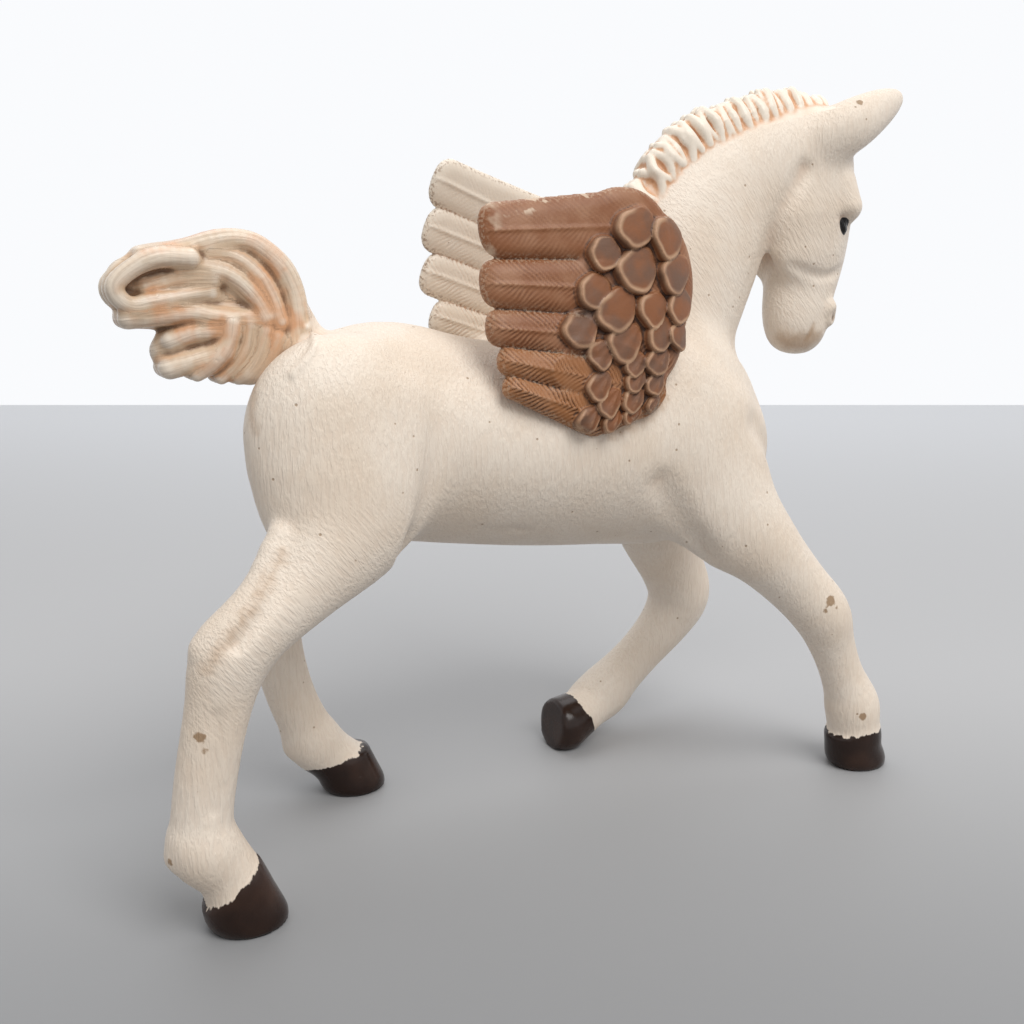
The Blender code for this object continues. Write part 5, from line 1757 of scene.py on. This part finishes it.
@dataclass(frozen=True)
class MouldedBody:
    """The one-piece body: trunk, neck, head, legs, hooves, mane and tail."""

    trunk: Trunk = Trunk()
    neck: Neck = Neck()
    head: Head = Head()
    legs: Legs = Legs()
    hooves: Hooves = Hooves()
    tail: Tail = Tail()
    mane: Mane = Mane()
    overlap: float = 0.5
    seat_block: Block = ((-9, -15, 47), (11, 15, 62))
    thigh_top: float = 46.0
    thigh_front: float = -12.0
    hock: float = 20.0
    neck_foot: float = 56.0
    neck_rear: float = 8.0
    throat: float = 80.0
    fine_reach: float = 0.55
    broad_reach: float = 1.6
    regions: tuple[Region, ...] = (
        Region("body_head", 0.25, (1, -11, 56), (53, 11, 93), (3, -20, 58), (60, 20, 95)),
        Region("body_tail", 0.2, (-53, -14, 51), (-26, 14, 73), (-60, -20, 54.2), (-28.5, 20, 95)),
        Region("body_trunk", 0.42, (-53, -19, -1), (53, 19, 66), (-60, -20, -5), (60, 20, 95)),
    )
    chips: Stations = (
        (31.9, -15.0, 26.1, 0.75), (31.2, -14.8, 25.0, 0.45), (32.9, -15.0, 25.2, 0.35),
        (38.6, -15.1, 9.7, 0.55), (-44.6, -14.1, 23.1, 0.55), (-44.2, -14.2, 21.9, 0.35),
        (-48.0, -13.3, 10.8, 0.35), (40.2, -6.2, 86.0, 0.4),
    )
    # Lines of painted shade: the near hind's tendon groove, below the tail root and under the near wing's
    # lower edge
    shade_streaks: Sequence[Stations] = (
        ((-35.6, -12.6, 39.6), (-38.6, -13.8, 35.4), (-41.5, -14.2, 32.2), (-43.6, -14.0, 29.6)),
        ((-35.7, -5.6, 55.4), (-36.4, -7.0, 53.0), (-36.6, -8.4, 50.8)),
        ((1.5, -11.8, 48.3), (6.4, -11.5, 49.8), (9.0, -11.0, 51.8)),
    )

    def carve(self, clay: Clay) -> None:
        """Adds every form of the body to the clay."""
        for form in (self.trunk, self.neck, self.head, self.legs, self.hooves, self.tail, self.mane):
            form.carve(clay)
        self.trunk.crease(clay)
        self.neck.crease(clay)
        clay.field = np.maximum(clay.field, CARVING_GROUND - clay.axes[2][None, None, :])

    def clays(self) -> dict[str, Clay]:
        """Carves each region on its own grid."""
        made = {}
        for region in self.regions:
            made[region.name] = Clay(region.low, region.high, region.step)
            self.carve(made[region.name])
        return made

    def slant(self, spots: np.ndarray) -> np.ndarray:
        """Says how far the engraved hair leans at each vertex, from 0 upright to 1."""
        x, z = spots[:, 0], spots[:, 2]
        thigh = unit((self.thigh_top - z) / 8.0) * unit((self.thigh_front - x) / 5.0)
        cannon = unit((z - self.hock) / 10.0)
        neck = unit((z - self.neck_foot) / 6.0) * unit((x - self.neck_rear) / 4.0)
        return np.maximum(thigh * cannon, neck * unit((self.throat - z) / 6.0))

    def marks(self, spots: np.ndarray, quads: np.ndarray, step: float) -> Marks:
        """Measures everything that the body paint reads.

        Args:
            spots: Vertices.
            quads: Quads.
            step: The region's grid spacing.

        Returns:
            The marks.
        """
        marks = {}
        for form in (self.head, self.hooves, self.mane, self.tail):
            marks.update(form.marks(spots))
        chips = np.full(len(spots), FAR_AWAY)
        for x, y, z, radius in self.chips:
            chips = np.minimum(chips, np.linalg.norm(spots - np.array([x, y, z]), axis=1) - radius)
        # Distance to the lines of painted shade
        shade_streak = np.full(len(spots), FAR_AWAY)
        for line in self.shade_streaks:
            shade_streak = np.minimum(shade_streak, chain_distance(spots, line))
        marks["chips"] = chips
        marks["shade_streak"] = shade_streak
        marks["slant"] = self.slant(spots)
        marks["hollow"] = hollows(spots, quads, max(2, round((self.fine_reach / step) ** 2)))
        marks["broad"] = hollows(spots, quads, round((self.broad_reach / step) ** 2))
        return marks

    def kept(self, region: Region, vertices: np.ndarray, quads: np.ndarray) -> np.ndarray:
        """Picks the quads that a region keeps, with a narrow overlap to its neighbours."""
        centres = vertices[quads].mean(1)
        keep = region.holds(centres, 0.0)
        for other in self.regions[: self.regions.index(region)]:
            keep &= ~other.holds(centres, self.overlap)
        return quads[keep]

    def build(self, clays: dict[str, Clay], wings: Sequence[Wing], fit: FrameFit) -> list[bpy.types.Object]:
        """Meshes and paints the regions.

        Args:
            clays: The carved grids.
            wings: Wings whose roots need a seat.
            fit: Where the carving goes in the frame.

        Returns:
            The pieces that stand for the body.
        """
        material = BodyPaint().build()
        pieces = []
        for region in self.regions:
            clay = clays[region.name]
            for wing in wings:
                cut, points = clay.window(*self.seat_block)
                if clay.field[cut].size:
                    seat = wing.seat_gap - wing.root_field(points)
                    clay.field[cut] = np.maximum(clay.field[cut], seat)
            vertices, quads, _ = clay.surface()
            vertices = clay.settled(vertices)
            marks = self.marks(vertices, quads, region.step)
            quads = self.kept(region, vertices, quads)
            used, numbers = np.unique(quads, return_inverse=True)
            quads = numbers.reshape(quads.shape)
            marks = {name: values[used] for name, values in marks.items()}
            piece = make_piece(region.name, fit.place(vertices[used]), quads, marks, material)
            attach(piece, "root")
            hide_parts("body")
            log.info("%s: %d quads", region.name, len(quads))
            pieces.append(piece)
        return pieces


NEAR_FEATHERS = FeatherPaint(
    name="brown_feather_finish",
    middle=(0.235, 0.088, 0.034),
    lower=(0.33, 0.135, 0.048),
    ridge=(0.44, 0.245, 0.145),
    recess_shade=(0.045, 0.016, 0.007),
    covert=(0.15, 0.078, 0.048),
    rim=(0.46, 0.29, 0.18),
    speck=(0.66, 0.52, 0.39),
    speck_share=0.35,
    barb_share=0.75,
    rubbed_share=0.75,
    roughness=0.48,
)
FAR_FEATHERS = FeatherPaint(
    name="pearl_feather_finish",
    middle=(0.82, 0.725, 0.615),
    lower=(0.82, 0.725, 0.615),
    ridge=(0.86, 0.79, 0.70),
    recess_shade=(0.55, 0.335, 0.21),
    covert=(0.80, 0.69, 0.57),
    rim=(0.86, 0.79, 0.70),
    speck=(0.24, 0.13, 0.07),
    speck_share=0.7,
    barb_share=0.40,
    rubbed_share=0.0,
    roughness=0.38,
)


def build_wing(wing: Wing, body: Clay, fit: FrameFit) -> bpy.types.Object:
    """Carves, paints and seats one wing.

    Args:
        wing: The wing.
        body: The body's clay, before its seats are cut.
        fit: Where the carving goes in the frame.

    Returns:
        The wing's piece.
    """
    vertices, quads = wing.carve(body)
    marks = wing.marks(vertices)
    marks["hollow"] = hollows(vertices, quads, wing.fine_rounds)
    marks["broad"] = hollows(vertices, quads, wing.broad_rounds)
    near = wing.side is Side.NEAR
    finish = NEAR_FEATHERS if near else FAR_FEATHERS
    piece = make_piece(wing.node + "_feathers", fit.place(vertices), quads, marks, finish.build())
    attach(piece, "root")
    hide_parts(wing.node)
    log.info("%s: %d quads", piece.name, len(quads))
    return piece


# Studio


@dataclass(frozen=True)
class Studio:
    """A pale table, soft lamps and the camera."""

    table_reach: float = 0.56
    table_half_width: float = 1.2
    # Painted shade across the table: darker near the camera, lighter far away
    table_near_shade: Colour = (0.235, 0.24, 0.25)
    table_middle_shade: Colour = (0.44, 0.445, 0.46)
    table_far: Colour = (0.66, 0.68, 0.72)
    background: Colour = (0.955, 0.965, 0.985)
    ambient: float = 0.56
    ambient_colour: Colour = (1.0, 0.985, 0.96)
    aim: tuple[float, float, float] = (0.0, 0.0, 0.04)
    camera_place: tuple[float, float, float] = (-0.063, -0.1128, 0.06325)
    camera_heading: float = 27.4
    camera_pitch: float = 12.0
    focal_length: float = 38.67
    sensor: float = 36.0

    def table(self) -> bpy.types.Object:
        """Lays the table, which ends a little way behind the figurine, with painted shade that makes it
        darker towards the camera.
        """
        paint = Paint("table_finish")
        grain = paint.noise(paint.even_place(0.05), 3.0)
        reach = paint.mark("reach")
        # Painted shade: the table is darker near the camera and lighter further back
        colour = paint.colour(paint.between(reach, 0.05, 0.18), self.table_near_shade, self.table_middle_shade)
        colour = paint.colour(paint.between(reach, 0.18, 0.60), colour, self.table_far)
        material = paint.finish(colour, 0.55, paint.bump(grain, 0.01))
        heading = math.radians(self.camera_heading)
        ahead = np.array([math.sin(heading), math.cos(heading)])
        across = np.array([ahead[1], -ahead[0]])
        here = np.array(self.camera_place[:2])
        corners = []
        reaches = []
        for reach, side in ((-0.5, -1), (-0.5, 1), (self.table_reach, 1), (self.table_reach, -1)):
            spot = here + ahead * reach + across * side * self.table_half_width
            corners.append((spot[0], spot[1], 0.0))
            reaches.append(reach)
        mesh = bpy.data.meshes.new("table")
        mesh.from_pydata(corners, [], [(0, 1, 2, 3)])
        mesh.attributes.new("reach", "FLOAT", "POINT").data.foreach_set("value", reaches)
        mesh.materials.append(material)
        table = placed_object("table", mesh)
        table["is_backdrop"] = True
        return table

    def surroundings(self) -> None:
        """Fills the room with soft light, and shows a pale background behind the table."""
        world = bpy.data.worlds.new("room")
        world.use_nodes = True
        bpy.context.scene.world = world
        nodes, links = world.node_tree.nodes, world.node_tree.links
        nodes.clear()
        path = nodes.new("ShaderNodeLightPath")
        seen = path.outputs["Is Camera Ray"]
        for ray in ("Is Glossy Ray", "Is Transmission Ray"):
            either = nodes.new("ShaderNodeMath")
            either.operation = "MAXIMUM"
            links.new(seen, either.inputs[0])
            links.new(path.outputs[ray], either.inputs[1])
            seen = either.outputs[0]
        light = nodes.new("ShaderNodeBackground")
        light.inputs["Color"].default_value = (*self.ambient_colour, 1.0)
        light.inputs["Strength"].default_value = self.ambient
        shown = nodes.new("ShaderNodeBackground")
        shown.inputs["Color"].default_value = (*self.background, 1.0)
        mix = nodes.new("ShaderNodeMixShader")
        output = nodes.new("ShaderNodeOutputWorld")
        links.new(seen, mix.inputs[0])
        links.new(light.outputs[0], mix.inputs[1])
        links.new(shown.outputs[0], mix.inputs[2])
        links.new(mix.outputs[0], output.inputs["Surface"])

    def lamp(self, name: str, place: Sequence[float], size: float, watts: float, colour: Colour) -> None:
        """Hangs one square soft lamp that faces the figurine.

        Args:
            name: Its name.
            place: Where it hangs, in metres.
            size: Its side, in metres.
            watts: Its power.
            colour: Its colour.
        """
        data = bpy.data.lights.new(name, "AREA")
        data.size = size
        data.energy = watts
        data.color = colour
        lamp = placed_object(name, data)
        lamp.location = place
        lamp.rotation_mode = "QUATERNION"
        toward = np.array(self.aim) - np.array(place)
        lamp.rotation_quaternion = Vector(toward.tolist()).to_track_quat("-Z", "Y")

    def camera(self) -> None:
        """Sets up the camera at the photograph's viewing angle."""
        data = bpy.data.cameras.new("camera")
        data.lens = self.focal_length
        data.sensor_width = self.sensor
        data.clip_start = 0.005
        camera = placed_object("camera", data)
        camera.location = self.camera_place
        tilt = math.radians(90.0 - self.camera_pitch)
        camera.rotation_euler = (tilt, 0.0, math.radians(-self.camera_heading))
        bpy.context.scene.camera = camera

    def build(self) -> None:
        """Puts up the whole studio."""
        self.table()
        self.surroundings()
        self.lamp("window", (0.06, -0.42, 0.60), 0.45, 3.4, (1.0, 0.98, 0.95))
        self.lamp("sky", (0.1, 0.25, 0.8), 0.7, 1.9, (0.96, 0.98, 1.0))
        self.camera()
        bpy.context.scene.view_settings.view_transform = "Standard"


def frame_fit(clays: dict[str, Clay]) -> FrameFit:
    """Finds where the carving goes so that its middle is the frame's middle.

    Args:
        clays: The body's carved grids.

    Returns:
        The fit.
    """
    low, high = (np.array(corner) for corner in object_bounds())
    lows = []
    highs = []
    for clay in clays.values():
        solid = np.argwhere(clay.field < 0)
        lows.append(clay.low + clay.step * solid.min(0))
        highs.append(clay.low + clay.step * solid.max(0))
    middle = (np.min(lows, axis=0) + np.max(highs, axis=0)) / 2
    target = (low + high) / 2 / MM
    shift = np.array([target[0] - middle[0], target[1] - middle[1], low[2] / MM - CARVING_GROUND])
    return FrameFit(shift, low, high)


def main() -> None:
    """Builds the figurine's pieces in order, then the studio."""
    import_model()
    body = MouldedBody()
    clays = body.clays()
    fit = frame_fit(clays)
    log.info("shift %s", fit.shift)
    wings = [Wing(Side.NEAR), Wing(Side.FAR)]
    behind_wings = Clay(*WINGS_BLOCK, WINGS_STEP)
    body.carve(behind_wings)
    for wing in wings:
        build_wing(wing, behind_wings, fit)
    body.build(clays, wings, fit)
    Studio().build()


if __name__ == "__main__":
    logging.basicConfig(level=logging.INFO, format="%(name)s %(message)s")
    main()
